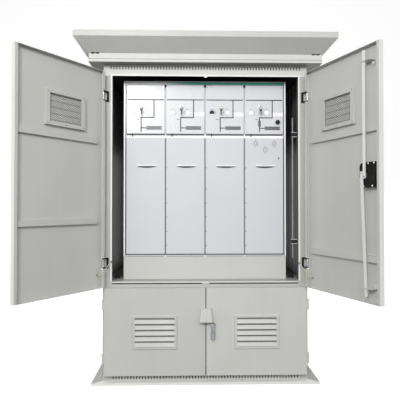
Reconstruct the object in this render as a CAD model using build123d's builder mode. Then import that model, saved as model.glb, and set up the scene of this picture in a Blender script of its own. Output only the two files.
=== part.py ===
from build123d import *
import math
import os

os.makedirs("parts", exist_ok=True)

# Outdoor switchgear kiosk. Millimetres, +Z up, the doors face -Y, the ground is at zero.

# Enclosure: its width and depth follow from the switchgear and the space around it
side_space = 133.5
front_space = 130.0
rear_space = 127.5
panel_sheet = 2.5
post_width = 66.0
plinth_height = 80.0
lower_opening_height = 580.0
mid_rail_height = 78.0
upper_opening_height = 1549.0
header_height = 81.5
frame_return = 45.0
rain_lip_width = 11.0
rain_lip_proud = 4.0
floor_sheet = 3.0
floor_lap = 3.0
cut_overrun = 5.0

# Base frame and its anchor holes
base_thickness = 20.0
base_side_margin = 77.0
base_front_margin = 54.0
base_rail_width = 147.0
anchor_side_inset = 39.0
anchor_front_inset = 154.0
anchor_hole_diameter = 18.0

# Vent slots in the header and the plinth
vent_slot_width = 9.0
vent_slot_pitch = 22.0
vent_slot_height = 28.0
vent_slot_margin = 4.5
vent_end_margin = 35.0
plinth_slot_height = 45.0
plinth_slot_margin = 9.0

# Door keepers on the header and the sill
header_keeper_width = 24.0
header_keeper_drop = 9.0
sill_keeper_width = 50.0
sill_keeper_height = 14.0

# Roof
soffit_sheet = 2.5
roof_side_overhang = 96.0
roof_front_overhang = 75.0
roof_sheet = 2.5
band_height = 63.0
hem_height = 21.0
hem_proud = 3.0
flare_width = 96.0
flare_height = 96.0
eaves_fascia_height = 42.0
roof_rise = 55.0
ridge_width = 120.0
weep_slot_width = 25.0
weep_slot_height = 9.0
weep_slot_gap = 9.0
weep_slot_inset = 30.0

# Doors
door_sheet = 2.0
door_depth = 34.0
door_standoff = 6.0
door_edge_inset = 15.0
door_centre_gap = 10.0
upper_door_bottom_overlap = 36.0
upper_door_top_overlap = 18.0
lower_door_overlap = 34.0
door_lip_width = 22.0
left_open_angle = 125.5
right_open_angle = 111.2

# Hinges
pin_offset = 10.0
pin_inset = 6.0
pin_diameter = 10.0
pin_clearance = 0.05
hinge_height = 76.0
prong_thickness = 8.0
prong_radius = 8.0
foot_width = 16.0
foot_depth = 8.0
foot_offset = 29.0
barrel_radius = 7.0
barrel_end_gap = 0.4
leaf_thickness = 4.0
leaf_length = 48.0
notch_margin = 4.0
upper_hinge_inset = 176.5
lower_hinge_inset = 125.0

# Pressed louvres
louvre_width = 338.0
louvre_height = 256.0
louvre_proud = 8.0
louvre_draft = 35.0
louvre_slot_width = 294.0
blade_count = 5
blade_pitch = 42.5
blade_gap = 14.0
blade_reach = 12.0
blade_thickness = 3.0
blade_margin = 2.0
upper_vent_inset = 345.0
upper_vent_drop = 347.0
lower_louvre_rise = 321.0

# Screens behind the upper louvres
screen_width = 337.0
screen_height = 238.0
screen_side_border = 33.5
screen_end_border = 26.0
screen_depth = 20.0
mesh_setback = 8.0
mesh_thickness = 2.0
mesh_strand = 5.0
mesh_columns = 10
mesh_rows = 6

# Door stiffeners, as heights above the door's lower edge
stiffener_height = 40.0
stiffener_depth = 18.0
stiffener_hinge_inset = 60.0
left_stiffener_heights = (493.0, 1078.0)
right_stiffener_heights = (273.0, 1083.0)

# Rod lock of the right upper door
lock_case_width = 112.0
lock_case_height = 157.0
lock_case_depth = 34.0
lock_case_shift = 38.0
lock_case_fillet = 6.0
upper_spindle_inset = 127.0
upper_spindle_rise = 795.0
spindle_radius = 6.0
spindle_clearance = 0.08
cam_radius = 24.0
cam_thickness = 4.0
cam_clearance = 1.0
cam_pin_radius = 3.5
cam_pin_overhang = 1.0
cam_throw = 14.0
rod_width = 20.0
rod_thickness = 6.0
rod_frame_gap = 1.5
rod_end_margin = 8.0
rod_slot_play = 0.8
rod_head_gap = 14.0
rod_sill_gap = 5.0
rod_tip_chamfer = 4.0
rod_keeper_play = 6.0
lower_rod_lean = 36.0
guide_width = 76.0
guide_shift = 16.0
guide_sheet = 4.0
guide_overhang = 5.0
guide_play = 0.4
leaning_guide_play = 2.0
guide_tab_width = 27.0
guide_tab_height = 28.0
upper_guide_drop = 103.0
lower_guide_rise = 93.0

# Lever handles
handle_plate_margin = 4.0
handle_plate_sheet = 4.0
lever_width = 33.0
lever_length = 130.0
lever_thickness = 12.0
lever_gap = 0.4
lever_fillet = 3.0
lower_spindle_inset = 49.0
lower_spindle_rise = 374.0

# Latch of the right lower door
tongue_length = 78.0
tongue_width = 24.0
tongue_thickness = 4.0
tongue_clearance = 1.0

# Padlock hood, one half on each lower door
hood_top_width = 72.0
hood_bottom_width = 94.0
hood_height = 95.0
hood_top_depth = 28.0
hood_bottom_depth = 52.0
hood_sheet = 2.0
hood_split_gap = 0.6
hood_rise = 404.0
lug_thickness = 4.0
lug_reach = 34.0
lug_height = 36.0
lug_hole_radius = 6.0

# Earth studs and leads
stud_radius = 4.0
frame_stud_length = 8.0
door_stud_length = 12.0
left_stud_inset = 42.0
left_stud_height = 819.0
right_stud_inset = 49.0
right_stud_height = 795.0
left_frame_stud_height = 906.0
right_frame_stud_height = 891.0
lead_radius = 2.5
lead_stud_gap = 0.4
lead_frame_exit = 20.0
lead_door_exit = 13.0
lead_bow = 17.0
lead_sag = 7.0
lead_bow_shares = (0.3, 0.62)
lead_bend_share = 0.45

# Switchgear block
module_count = 4
module_pitch = 310.0
module_gap = 8.0
switchgear_depth = 740.0
skirt_height = 175.5
skirt_sheet = 3.0
side_trim_width = 14.0
side_trim_proud = 5.0
panel_thickness = 10.0
panel_fillet = 4.0
ledge_height = 19.0
cover_height = 909.0
cover_lift_gap = 31.0
cover_clearance = 0.5
fascia_height = 386.0
top_strip_height = 27.0
top_strip_proud = 2.0
bay_wall = 30.0
bay_depth = 300.0
bay_roof_drop = 20.0

# Lifting grip of each cable cover
grip_width = 146.0
grip_fall = 12.0
grip_proud = 15.0
grip_edge = 1.0
grip_wall = 3.0
grip_end_wall = 4.0
grip_shift = 8.0
grip_drop = 211.0
recess_depth = 6.0
recess_end_fall = 17.0
recess_middle_fall = 25.0

# Fittings on the mechanism fascias, from the module's centre line and the fascia's top
lock_offset = -30.0
lock_drop = 172.0
lock_radius = 13.0
lock_depth = 8.0
plug_radius = 6.0
plug_gap = 0.3
plug_proud = 1.0
key_blade_width = 8.0
key_blade_length = 12.0
key_thickness = 2.6
key_bow_radius = 12.0
key_hole_radius = 3.5
shaft_left_offset = -101.0
shaft_right_offset = 20.0
shaft_drop = 219.0
shaft_cover_radius = 17.0
shaft_cover_depth = 5.0
shaft_cover_fillet = 2.0
socket_radius = 18.0
socket_wall = 3.0
socket_depth = 7.0
socket_floor = 2.0
socket_shaft_radius = 5.0
plate_offset = 65.0
plate_drop = 339.0
plate_width = 122.0
plate_height = 28.0
plate_thickness = 2.0
knob_offset = 107.0
knob_drop = 291.0
knob_radius = 17.0
knob_depth = 16.0
knob_gap = 0.4
knob_spindle_radius = 4.0
knob_spindle_length = 10.0
knob_ridge_width = 7.0
knob_ridge_depth = 6.0
knob_fillet = 2.0

# Cable bushings in the bays
bushing_count = 3
bushing_spacing = 88.0
bushing_rise = 620.0
bushing_flange_radius = 38.0
bushing_flange_depth = 12.0
bushing_root_radius = 28.0
bushing_tip_radius = 20.0
bushing_length = 130.0

# Conduit on the right inner wall
conduit_radius = 6.0
conduit_wall_gap = 39.5
conduit_setback = 300.0
conduit_rise = 143.5
conduit_length = 1155.0
conduit_clamp_height = 40.0
conduit_clamp_depth = 34.0
conduit_clamp_nose = 6.0
conduit_clamp_shares = (0.1, 0.86)

# Levels and planes worked out from the sizes above
gear_half = module_count * module_pitch / 2
skirt_half = gear_half + side_trim_width
body_width = 2 * (skirt_half + side_space + panel_sheet)
body_depth = front_space + switchgear_depth + rear_space + panel_sheet
opening_width = body_width - 2 * post_width
half_body = body_width / 2
half_opening = opening_width / 2
frame_front = -body_depth / 2
frame_back = body_depth / 2
plinth_top = base_thickness + plinth_height
rail_bottom = plinth_top + lower_opening_height
sill_top = rail_bottom + mid_rail_height
head_bottom = sill_top + upper_opening_height
soffit_bottom = head_bottom + header_height
soffit_top = soffit_bottom + soffit_sheet
floor_top = sill_top - panel_sheet
wall_inside = half_body - panel_sheet

door_width = half_body - door_edge_inset - door_centre_gap / 2
upper_door_bottom = sill_top - upper_door_bottom_overlap
upper_door_top = head_bottom + upper_door_top_overlap
lower_door_bottom = plinth_top - lower_door_overlap
lower_door_top = rail_bottom + lower_door_overlap

# Door frame of reference: the pin axis is the origin, +X runs to the free edge, +Y runs inwards
door_edge = pin_offset
free_edge = door_edge + door_width
split_line = free_edge + door_centre_gap / 2
door_front = -pin_inset
skin_inside = door_front + door_sheet
door_back = door_front + door_depth
frame_plane = door_back + door_standoff
pin_x = half_body - door_edge_inset + pin_offset
pin_y = frame_front - frame_plane
rod_face = frame_plane + panel_sheet + rod_frame_gap

gear_front = frame_front + front_space
gear_face = gear_front + panel_thickness
gear_back = gear_front + switchgear_depth
skirt_top = floor_top + skirt_height
cover_bottom = skirt_top + ledge_height
cover_top = cover_bottom + cover_height
fascia_bottom = cover_top + cover_lift_gap
fascia_top = fascia_bottom + fascia_height
gear_top = fascia_top + top_strip_height
panel_width = module_pitch - module_gap
bay_back = gear_face + bay_depth
module_centres = [(index + 0.5) * module_pitch - gear_half for index in range(module_count)]


def facing(depth):
    """Upright plane at y = depth that looks to the front; its own axes are X and Z."""
    return Plane.XZ.offset(-depth)


def keep(piece, name):
    """Label a finished piece and write it under its name."""
    piece.label = name
    export_step(piece, f"parts/{name}.step")


def right_hand(piece):
    """The same piece for a door that is hung on the right."""
    with BuildPart() as mirrored:
        mirror(piece, about=Plane.YZ)
    return mirrored.part


def hang(piece, side, angle):
    """Put a piece made in the door's own frame on its pin, opened by an angle."""
    return piece.moved(Location((side * pin_x, pin_y, 0), (0, 0, side * angle)))


def slot_count(span):
    """How many vent slots fit along a span."""
    return int(span // vent_slot_pitch)


# Base frame
base_width = body_width + 2 * base_side_margin
base_depth = body_depth + 2 * base_front_margin
with BuildPart() as base_frame:
    with BuildSketch():
        Rectangle(base_width, base_depth)
        Rectangle(base_width - 2 * base_rail_width, base_depth - 2 * base_rail_width, mode=Mode.SUBTRACT)
        anchor_pitch_x = base_width - 2 * anchor_side_inset
        anchor_pitch_y = base_depth - 2 * anchor_front_inset
        with GridLocations(anchor_pitch_x, anchor_pitch_y, 2, 2):
            Circle(anchor_hole_diameter / 2, mode=Mode.SUBTRACT)
    extrude(amount=base_thickness)
keep(base_frame.part, "base_frame")

# Plinth rail with its comb of vent slots
with BuildPart() as plinth_grille:
    with BuildSketch(facing(frame_front + panel_sheet)):
        with Locations((0, base_thickness + plinth_height / 2)):
            Rectangle(opening_width, plinth_height)
        with Locations((0, base_thickness + plinth_slot_margin + plinth_slot_height / 2)):
            with GridLocations(vent_slot_pitch, 0, slot_count(opening_width), 1):
                Rectangle(vent_slot_width, plinth_slot_height, mode=Mode.SUBTRACT)
    extrude(amount=panel_sheet)
    with BuildSketch(Plane.XY.offset(plinth_top)):
        with Locations((0, frame_front + frame_return / 2)):
            Rectangle(opening_width, frame_return)
    extrude(amount=-panel_sheet)
keep(plinth_grille.part, "plinth_grille")

# Side panels and rear panel
with BuildPart() as side_panels:
    with BuildSketch(Plane.XY.offset(base_thickness)):
        with GridLocations(body_width - panel_sheet, 0, 2, 1):
            Rectangle(panel_sheet, body_depth - 2 * panel_sheet)
    extrude(amount=soffit_bottom - base_thickness)
keep(side_panels.part, "side_panels")

with BuildPart() as rear_panel:
    with BuildSketch(facing(frame_back)):
        with Locations((0, (base_thickness + soffit_bottom) / 2)):
            Rectangle(body_width, soffit_bottom - base_thickness)
    extrude(amount=panel_sheet)
keep(rear_panel.part, "rear_panel")

# Front posts, folded back along the opening, with the raised rain lip
with BuildPart() as front_posts:
    with BuildSketch(Plane.XY.offset(base_thickness)):
        with BuildLine():
            Polyline(
                (-half_body, frame_front),
                (-half_opening, frame_front),
                (-half_opening, frame_front + frame_return),
                (-half_opening - panel_sheet, frame_front + frame_return),
                (-half_opening - panel_sheet, frame_front + panel_sheet),
                (-half_body, frame_front + panel_sheet),
                close=True,
            )
        make_face()
    extrude(amount=head_bottom - base_thickness)
    with BuildSketch(Plane.XY.offset(sill_top)):
        with Locations((-half_opening - rain_lip_width / 2, frame_front - rain_lip_proud / 2)):
            Rectangle(rain_lip_width, rain_lip_proud)
    extrude(amount=upper_opening_height)
    stud_x = half_opening + rain_lip_width / 2
    lip_front = frame_front - rain_lip_proud
    mirror(about=Plane.YZ)
    for stud_place in ((-stud_x, left_frame_stud_height), (stud_x, right_frame_stud_height)):
        with BuildSketch(facing(lip_front)):
            with Locations(stud_place):
                Circle(stud_radius)
        extrude(amount=frame_stud_length)
keep(front_posts.part, "front_posts")

# Header with its comb of vent slots, rain lip and centre keeper
with BuildPart() as header_rail:
    with BuildSketch(facing(frame_front + panel_sheet)):
        with Locations((0, head_bottom + header_height / 2)):
            Rectangle(body_width, header_height)
        with Locations((0, soffit_bottom - vent_slot_margin - vent_slot_height / 2)):
            with GridLocations(vent_slot_pitch, 0, slot_count(body_width - 2 * vent_end_margin), 1):
                Rectangle(vent_slot_width, vent_slot_height, mode=Mode.SUBTRACT)
    extrude(amount=panel_sheet)
    with BuildSketch(Plane.YZ.offset(-wall_inside)):
        with Locations((frame_front + frame_return / 2, soffit_bottom - panel_sheet / 2)):
            Rectangle(frame_return, panel_sheet)
    extrude(amount=2 * wall_inside)
    with BuildSketch(facing(frame_front)):
        with Locations((0, head_bottom + rain_lip_width / 2)):
            Rectangle(opening_width + 2 * rain_lip_width, rain_lip_width)
    extrude(amount=rain_lip_proud)
    with BuildSketch(facing(frame_front + panel_sheet)):
        with Locations((0, head_bottom - header_keeper_drop / 2)):
            Rectangle(header_keeper_width, header_keeper_drop)
    extrude(amount=panel_sheet + rain_lip_proud)
keep(header_rail.part, "header_rail")

# Mid rail: a channel between the posts, with the sill's rain lip, keeper and rod hole
pin_swing = cam_throw * (1 + math.sqrt(0.5)) / 2
sill_hole_x = pin_x - (free_edge - upper_spindle_inset - pin_swing + lower_rod_lean)
with BuildPart() as mid_rail:
    with BuildSketch(Plane.YZ.offset(-half_opening)):
        with Locations((frame_front + frame_return / 2, rail_bottom + mid_rail_height / 2)):
            Rectangle(frame_return, mid_rail_height)
        with Locations((frame_front + panel_sheet + frame_return / 2, rail_bottom + mid_rail_height / 2)):
            Rectangle(frame_return, mid_rail_height - 2 * panel_sheet, mode=Mode.SUBTRACT)
    extrude(amount=opening_width)
    with BuildSketch(Plane.XY.offset(sill_top)):
        with Locations((sill_hole_x, frame_front + rod_face - frame_plane + rod_thickness / 2)):
            Rectangle(rod_width + 2 * rod_keeper_play, rod_thickness + 2 * rod_keeper_play)
    extrude(amount=-panel_sheet, mode=Mode.SUBTRACT)
    with BuildSketch(facing(frame_front)):
        with Locations((0, sill_top - rain_lip_width / 2)):
            Rectangle(opening_width, rain_lip_width)
        with Locations((0, sill_top - rain_lip_width - sill_keeper_height / 2)):
            Rectangle(sill_keeper_width, sill_keeper_height)
    extrude(amount=rain_lip_proud)
keep(mid_rail.part, "mid_rail")

# Equipment floor with the cable cut-out under the switchgear
floor_front = frame_front + frame_return - floor_lap
floor_back = frame_back - panel_sheet
cutout_width = 2 * gear_half - bay_wall
with BuildPart() as equipment_floor:
    with BuildSketch(Plane.XY.offset(floor_top)):
        with Locations((0, (floor_front + floor_back) / 2)):
            Rectangle(2 * wall_inside, floor_back - floor_front)
        post_notch = 2 * (half_body - half_opening)
        with GridLocations(body_width, 0, 2, 1):
            with Locations((0, floor_front)):
                Rectangle(post_notch + 2 * panel_sheet, 2 * floor_lap + 2 * panel_sheet, mode=Mode.SUBTRACT)
        with Locations((0, (gear_face + bay_back) / 2)):
            Rectangle(cutout_width, bay_depth - bay_wall, mode=Mode.SUBTRACT)
    extrude(amount=-floor_sheet)
keep(equipment_floor.part, "equipment_floor")

# Roof: soffit sheet, flared eaves and a low hipped lid
band_width = body_width + 2 * roof_side_overhang
band_depth = body_depth + 2 * roof_front_overhang
eaves_width = band_width + 2 * flare_width
eaves_depth = band_depth + 2 * flare_width
band_top = soffit_top + band_height
flare_top = band_top + flare_height
roof_edge_top = flare_top + eaves_fascia_height

with BuildPart() as soffit_plate:
    with BuildSketch(Plane.XY.offset(soffit_bottom)):
        Rectangle(band_width, band_depth)
    extrude(amount=soffit_sheet)
keep(soffit_plate.part, "soffit_plate")


def eaves_solid(inset):
    """Band, flare and fascia as one solid, drawn in by an inset all round."""
    with BuildPart() as eaves:
        with BuildSketch(Plane.XY.offset(soffit_top)):
            Rectangle(band_width - 2 * inset, band_depth - 2 * inset)
        extrude(amount=band_height)
        with BuildSketch(Plane.XY.offset(band_top)):
            Rectangle(band_width - 2 * inset, band_depth - 2 * inset)
        with BuildSketch(Plane.XY.offset(flare_top)):
            Rectangle(eaves_width - 2 * inset, eaves_depth - 2 * inset)
        loft()
        with BuildSketch(Plane.XY.offset(flare_top)):
            Rectangle(eaves_width - 2 * inset, eaves_depth - 2 * inset)
        extrude(amount=eaves_fascia_height)
    return eaves.part


with BuildPart() as roof_eaves:
    add(eaves_solid(0))
    with BuildSketch(Plane.XY.offset(soffit_top)):
        Rectangle(band_width + 2 * hem_proud, band_depth + 2 * hem_proud)
    extrude(amount=hem_height)
    add(eaves_solid(roof_sheet), mode=Mode.SUBTRACT)
    with BuildSketch(facing(0)):
        weep_pitch = weep_slot_width + weep_slot_gap
        weep_centre = band_width / 2 - weep_slot_inset - weep_pitch / 2
        with Locations((-weep_centre, band_top), (weep_centre, band_top)):
            with GridLocations(weep_pitch, 0, 2, 1):
                Rectangle(weep_slot_width, weep_slot_height)
    extrude(amount=eaves_depth, mode=Mode.SUBTRACT)
keep(roof_eaves.part, "roof_eaves")


def hipped_solid(inset, drop):
    """Low hipped roof, drawn in by an inset and let down by a drop."""
    with BuildPart() as hip:
        with BuildSketch(Plane.XY.offset(roof_edge_top - drop)):
            Rectangle(eaves_width - 2 * inset, eaves_depth - 2 * inset)
        with BuildSketch(Plane.XY.offset(roof_edge_top + roof_rise - drop)):
            Rectangle(eaves_width - eaves_depth + ridge_width, ridge_width)
        loft()
    return hip.part


with BuildPart() as roof_lid:
    add(hipped_solid(0, 0))
    add(hipped_solid(0, roof_sheet), mode=Mode.SUBTRACT)
keep(roof_lid.part, "roof_lid")

# Hinge brackets: two prongs on a foot that is screwed to the post, with the pin between them
with BuildPart() as hinge_bracket:
    for prong_bottom in (-hinge_height / 2, hinge_height / 2 - prong_thickness):
        with BuildSketch(Plane.XY.offset(prong_bottom)):
            Circle(prong_radius)
            with Locations((foot_offset, frame_plane - foot_depth / 2)):
                Rectangle(foot_width, foot_depth)
            make_hull()
        extrude(amount=prong_thickness)
    with BuildSketch(Plane.XY.offset(-hinge_height / 2)):
        with Locations((foot_offset, frame_plane - foot_depth / 2)):
            Rectangle(foot_width, foot_depth)
        Circle(pin_diameter / 2)
    extrude(amount=hinge_height)

upper_hinge_heights = (upper_door_bottom + upper_hinge_inset, upper_door_top - upper_hinge_inset)
lower_hinge_heights = (lower_door_bottom + lower_hinge_inset, lower_door_top - lower_hinge_inset)
with BuildPart() as hinge_brackets:
    with Locations(*[(-pin_x, pin_y, level) for level in upper_hinge_heights + lower_hinge_heights]):
        add(hinge_bracket.part)
    mirror(about=Plane.YZ)
keep(hinge_brackets.part, "hinge_brackets")


def hinge_leaves(levels):
    """Barrel and leaf of each hinge; the leaf lies on the inside of the door's skin."""
    leaf_height = hinge_height - 2 * prong_thickness - 2 * barrel_end_gap
    with BuildPart() as leaf:
        with BuildSketch(Plane.XY.offset(-leaf_height / 2)):
            Circle(barrel_radius)
            with Locations((leaf_length / 2, skin_inside + leaf_thickness / 2)):
                Rectangle(leaf_length, leaf_thickness)
            Circle(pin_diameter / 2 + pin_clearance, mode=Mode.SUBTRACT)
        extrude(amount=leaf_height)
    with BuildPart() as leaves:
        with Locations(*[(0, 0, level) for level in levels]):
            add(leaf.part)
    return leaves.part


def door_pan(bottom, top, hinge_levels, vent_place, vent_window, spindle_place=None, stud_place=None):
    """Folded door: a pan with return lips on its upright edges and notches for the hinges."""
    height = top - bottom
    middle = (bottom + top) / 2
    with BuildPart() as pan:
        with BuildSketch(facing(door_back)):
            with Locations((door_edge + door_width / 2, middle)):
                Rectangle(door_width, height)
        extrude(amount=door_depth)
        offset(amount=-door_sheet, openings=pan.faces().sort_by(Axis.Y)[-1])
        with BuildSketch(facing(door_back)):
            lip_reach = door_width / 2 - door_lip_width / 2
            with Locations((door_edge + door_width / 2, middle)):
                with GridLocations(2 * lip_reach, 0, 2, 1):
                    Rectangle(door_lip_width, height)
        extrude(amount=door_sheet)
        with BuildSketch(facing(door_back)):
            notch_height = hinge_height + 2 * notch_margin
            for level in hinge_levels:
                with Locations((door_edge + door_lip_width / 2, level)):
                    Rectangle(door_lip_width, notch_height)
        extrude(amount=door_back - skin_inside, mode=Mode.SUBTRACT)
        with BuildSketch(facing(skin_inside)):
            with Locations(vent_place):
                Rectangle(*vent_window)
            if spindle_place:
                with Locations(spindle_place):
                    Circle(spindle_radius + spindle_clearance)
        extrude(amount=door_sheet, mode=Mode.SUBTRACT)
        if stud_place:
            with BuildSketch(facing(skin_inside)):
                with Locations(stud_place):
                    Circle(stud_radius)
            extrude(amount=-door_stud_length)
    return pan.part


vent_window = (louvre_slot_width, blade_count * blade_pitch + blade_margin)


def louvre_panel(place):
    """Raised frame with sloping edges and a row of blades that throw water outwards."""
    centre_x, centre_z = place
    window_width, window_height = vent_window
    blade_fall = blade_pitch - blade_gap - blade_thickness
    with BuildPart() as louvre:
        with BuildSketch(facing(door_front)):
            with Locations(place):
                Rectangle(louvre_width, louvre_height)
        extrude(amount=louvre_proud, taper=louvre_draft)
        with BuildSketch(facing(door_front)):
            with Locations(place):
                Rectangle(window_width, window_height)
        extrude(amount=louvre_proud, mode=Mode.SUBTRACT)
        with BuildSketch(Plane.YZ.offset(centre_x - window_width / 2)):
            for row in range(blade_count):
                blade_top = centre_z + window_height / 2 - blade_gap - row * blade_pitch
                with BuildLine():
                    Polyline(
                        (door_front, blade_top),
                        (door_front, blade_top - blade_thickness),
                        (door_front - blade_reach, blade_top - blade_fall - blade_thickness),
                        (door_front - blade_reach, blade_top - blade_fall),
                        close=True,
                    )
                make_face()
        extrude(amount=window_width)
    return louvre.part


def vent_screen(place):
    """Box frame on the inside of the door with a diamond mesh across it."""
    mesh_width = screen_width - 2 * screen_side_border
    mesh_height = screen_height - 2 * screen_end_border
    cell_width = mesh_width / mesh_columns
    cell_height = mesh_height / mesh_rows
    diamond_width = cell_width - mesh_strand / 2
    diamond_height = cell_height - mesh_strand / 2
    with BuildPart() as screen:
        with BuildSketch(facing(skin_inside)):
            with Locations(place):
                Rectangle(screen_width, screen_height)
                Rectangle(mesh_width, mesh_height, mode=Mode.SUBTRACT)
        extrude(amount=-screen_depth)
        with BuildSketch(facing(skin_inside + screen_depth - mesh_setback)):
            with Locations(place):
                Rectangle(mesh_width, mesh_height)
                with GridLocations(cell_width, cell_height, mesh_columns, mesh_rows):
                    Polygon(
                        (diamond_width / 2, 0),
                        (0, diamond_height / 2),
                        (-diamond_width / 2, 0),
                        (0, -diamond_height / 2),
                        mode=Mode.SUBTRACT,
                    )
        extrude(amount=-mesh_thickness)
    return screen.part


def stiffener_bars(levels):
    """Folded channels across the inside of a door, open towards the skin."""
    bar_start = door_edge + stiffener_hinge_inset
    bar_end = free_edge - door_sheet
    with BuildPart() as bars:
        for level in levels:
            with BuildSketch(Plane.YZ.offset(bar_start)):
                with Locations((skin_inside + stiffener_depth / 2, level)):
                    Rectangle(stiffener_depth, stiffener_height)
                with Locations((skin_inside + (stiffener_depth - door_sheet) / 2, level)):
                    inner_height = stiffener_height - 2 * door_sheet
                    Rectangle(stiffener_depth - door_sheet, inner_height, mode=Mode.SUBTRACT)
            extrude(amount=bar_end - bar_start)
    return bars.part


upper_vent_place = (door_edge + upper_vent_inset, upper_door_top - upper_vent_drop)
lower_louvre_place = (door_edge + door_width / 2, lower_door_bottom + lower_louvre_rise)
screen_window = (screen_width - 2 * screen_side_border, screen_height - 2 * screen_end_border)
upper_spindle = (free_edge - upper_spindle_inset, upper_door_bottom + upper_spindle_rise)
lower_spindle = (free_edge - lower_spindle_inset, lower_door_bottom + lower_spindle_rise)
left_stud = (door_edge + left_stud_inset, left_stud_height)
right_stud = (door_edge + right_stud_inset, right_stud_height)

# Left upper door
left_upper_pan = door_pan(
    upper_door_bottom, upper_door_top, upper_hinge_heights, upper_vent_place, screen_window, stud_place=left_stud
)
left_bars = stiffener_bars([upper_door_bottom + level for level in left_stiffener_heights])
upper_louvre = louvre_panel(upper_vent_place)
upper_screen = vent_screen(upper_vent_place)
upper_leaves = hinge_leaves(upper_hinge_heights)
keep(hang(left_upper_pan, -1, left_open_angle), "left_upper_door")
keep(hang(left_bars, -1, left_open_angle), "left_upper_stiffeners")
keep(hang(upper_louvre, -1, left_open_angle), "left_upper_louvre")
keep(hang(upper_screen, -1, left_open_angle), "left_upper_vent_screen")
keep(hang(upper_leaves, -1, left_open_angle), "left_upper_hinge_leaves")

# Right upper door
right_upper_pan = door_pan(
    upper_door_bottom, upper_door_top, upper_hinge_heights, upper_vent_place, screen_window,
    spindle_place=upper_spindle, stud_place=right_stud
)
pin_reach = cam_throw * math.sqrt(0.5)
upper_pin = (upper_spindle[0] + pin_swing, upper_spindle[1] - pin_reach)
lower_pin = (upper_spindle[0] - pin_swing, upper_spindle[1] + pin_reach)
upper_tip = (upper_pin[0], head_bottom - rod_head_gap)
lower_tip = (lower_pin[0] + lower_rod_lean, sill_top + rod_sill_gap)
upper_guide_level = upper_door_top - upper_guide_drop
lower_guide_level = upper_door_bottom + lower_guide_rise
lean_share = (lower_pin[1] - lower_guide_level) / (lower_pin[1] - lower_tip[1])
lower_guide_x = lower_pin[0] + lean_share * lower_rod_lean
guide_front = rod_face + rod_thickness + guide_overhang
with BuildPart() as right_bars:
    add(stiffener_bars([upper_door_bottom + level for level in right_stiffener_heights]))
    for rod_x, level, play, tab_side in (
        (upper_pin[0], upper_guide_level, guide_play, -1),
        (lower_guide_x, lower_guide_level, leaning_guide_play, 1),
    ):
        with BuildSketch(Plane.XY.offset(level)):
            with Locations((rod_x + guide_shift, (skin_inside + guide_front) / 2)):
                Rectangle(guide_width, guide_front - skin_inside)
            with Locations((rod_x, rod_face + rod_thickness / 2)):
                Rectangle(rod_width + 2 * play, rod_thickness + 2 * guide_play, mode=Mode.SUBTRACT)
        extrude(amount=guide_sheet)
        with BuildSketch(facing(skin_inside)):
            tab_x = rod_x + guide_shift + guide_width / 2 - guide_tab_width / 2
            with Locations((tab_x, level + tab_side * guide_tab_height / 2)):
                Rectangle(guide_tab_width, guide_tab_height)
        extrude(amount=-guide_sheet)
keep(hang(right_hand(right_upper_pan), 1, right_open_angle), "right_upper_door")
keep(hang(right_hand(right_bars.part), 1, right_open_angle), "right_upper_stiffeners")
keep(hang(right_hand(upper_louvre), 1, right_open_angle), "right_upper_louvre")
keep(hang(right_hand(upper_screen), 1, right_open_angle), "right_upper_vent_screen")
keep(hang(right_hand(upper_leaves), 1, right_open_angle), "right_upper_hinge_leaves")

# Lock case
case_front = skin_inside + lock_case_depth
with BuildPart() as lock_case:
    with BuildSketch(facing(skin_inside)):
        with Locations((upper_spindle[0] + lock_case_shift, upper_spindle[1])):
            Rectangle(lock_case_width, lock_case_height)
        with Locations(upper_spindle):
            Circle(spindle_radius + spindle_clearance, mode=Mode.SUBTRACT)
    extrude(amount=-lock_case_depth)
    fillet(lock_case.edges().filter_by(Axis.Y).filter_by(GeomType.LINE), lock_case_fillet)
keep(hang(right_hand(lock_case.part), 1, right_open_angle), "lock_case")


def handle_plate(spindle):
    """Backing plate of a lever handle on the outside of the door, a margin larger than the lever."""
    with BuildPart() as plate:
        with BuildSketch(facing(door_front)):
            with Locations((spindle[0], spindle[1] - (lever_length - lever_width) / 2)):
                SlotOverall(
                    lever_length + 2 * handle_plate_margin, lever_width + 2 * handle_plate_margin, rotation=90
                )
            with Locations(spindle):
                Circle(spindle_radius + spindle_clearance, mode=Mode.SUBTRACT)
        extrude(amount=handle_plate_sheet)
    return plate.part


def lever_handle(spindle, spindle_end):
    """Round-ended lever that hangs from its spindle."""
    lever_back = door_front - handle_plate_sheet - lever_gap
    with BuildPart() as lever:
        with BuildSketch(facing(lever_back)):
            with Locations((spindle[0], spindle[1] - (lever_length - lever_width) / 2)):
                SlotOverall(lever_length, lever_width, rotation=90)
        extrude(amount=lever_thickness)
        fillet(lever.faces().sort_by(Axis.Y)[0].edges(), lever_fillet)
        with BuildSketch(facing(lever_back)):
            with Locations(spindle):
                Circle(spindle_radius)
        extrude(amount=lever_back - spindle_end)
    return lever.part


cam_back = case_front + cam_clearance
keep(hang(right_hand(handle_plate(upper_spindle)), 1, right_open_angle), "upper_handle_plate")
keep(hang(right_hand(lever_handle(upper_spindle, cam_back)), 1, right_open_angle), "upper_lever")

# Lock cam: a disc on the spindle's end with one driving pin for each rod
with BuildPart() as lock_cam:
    with BuildSketch(facing(cam_back)):
        with Locations(upper_spindle):
            Circle(cam_radius)
    extrude(amount=-cam_thickness)
    with BuildSketch(facing(cam_back)):
        with Locations(
            (upper_spindle[0] + pin_reach, upper_spindle[1] - pin_reach),
            (upper_spindle[0] - pin_reach, upper_spindle[1] + pin_reach),
        ):
            Circle(cam_pin_radius)
    extrude(amount=-(rod_face + rod_thickness + cam_pin_overhang - cam_back))
keep(hang(right_hand(lock_cam.part), 1, right_open_angle), "lock_cam")


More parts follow.
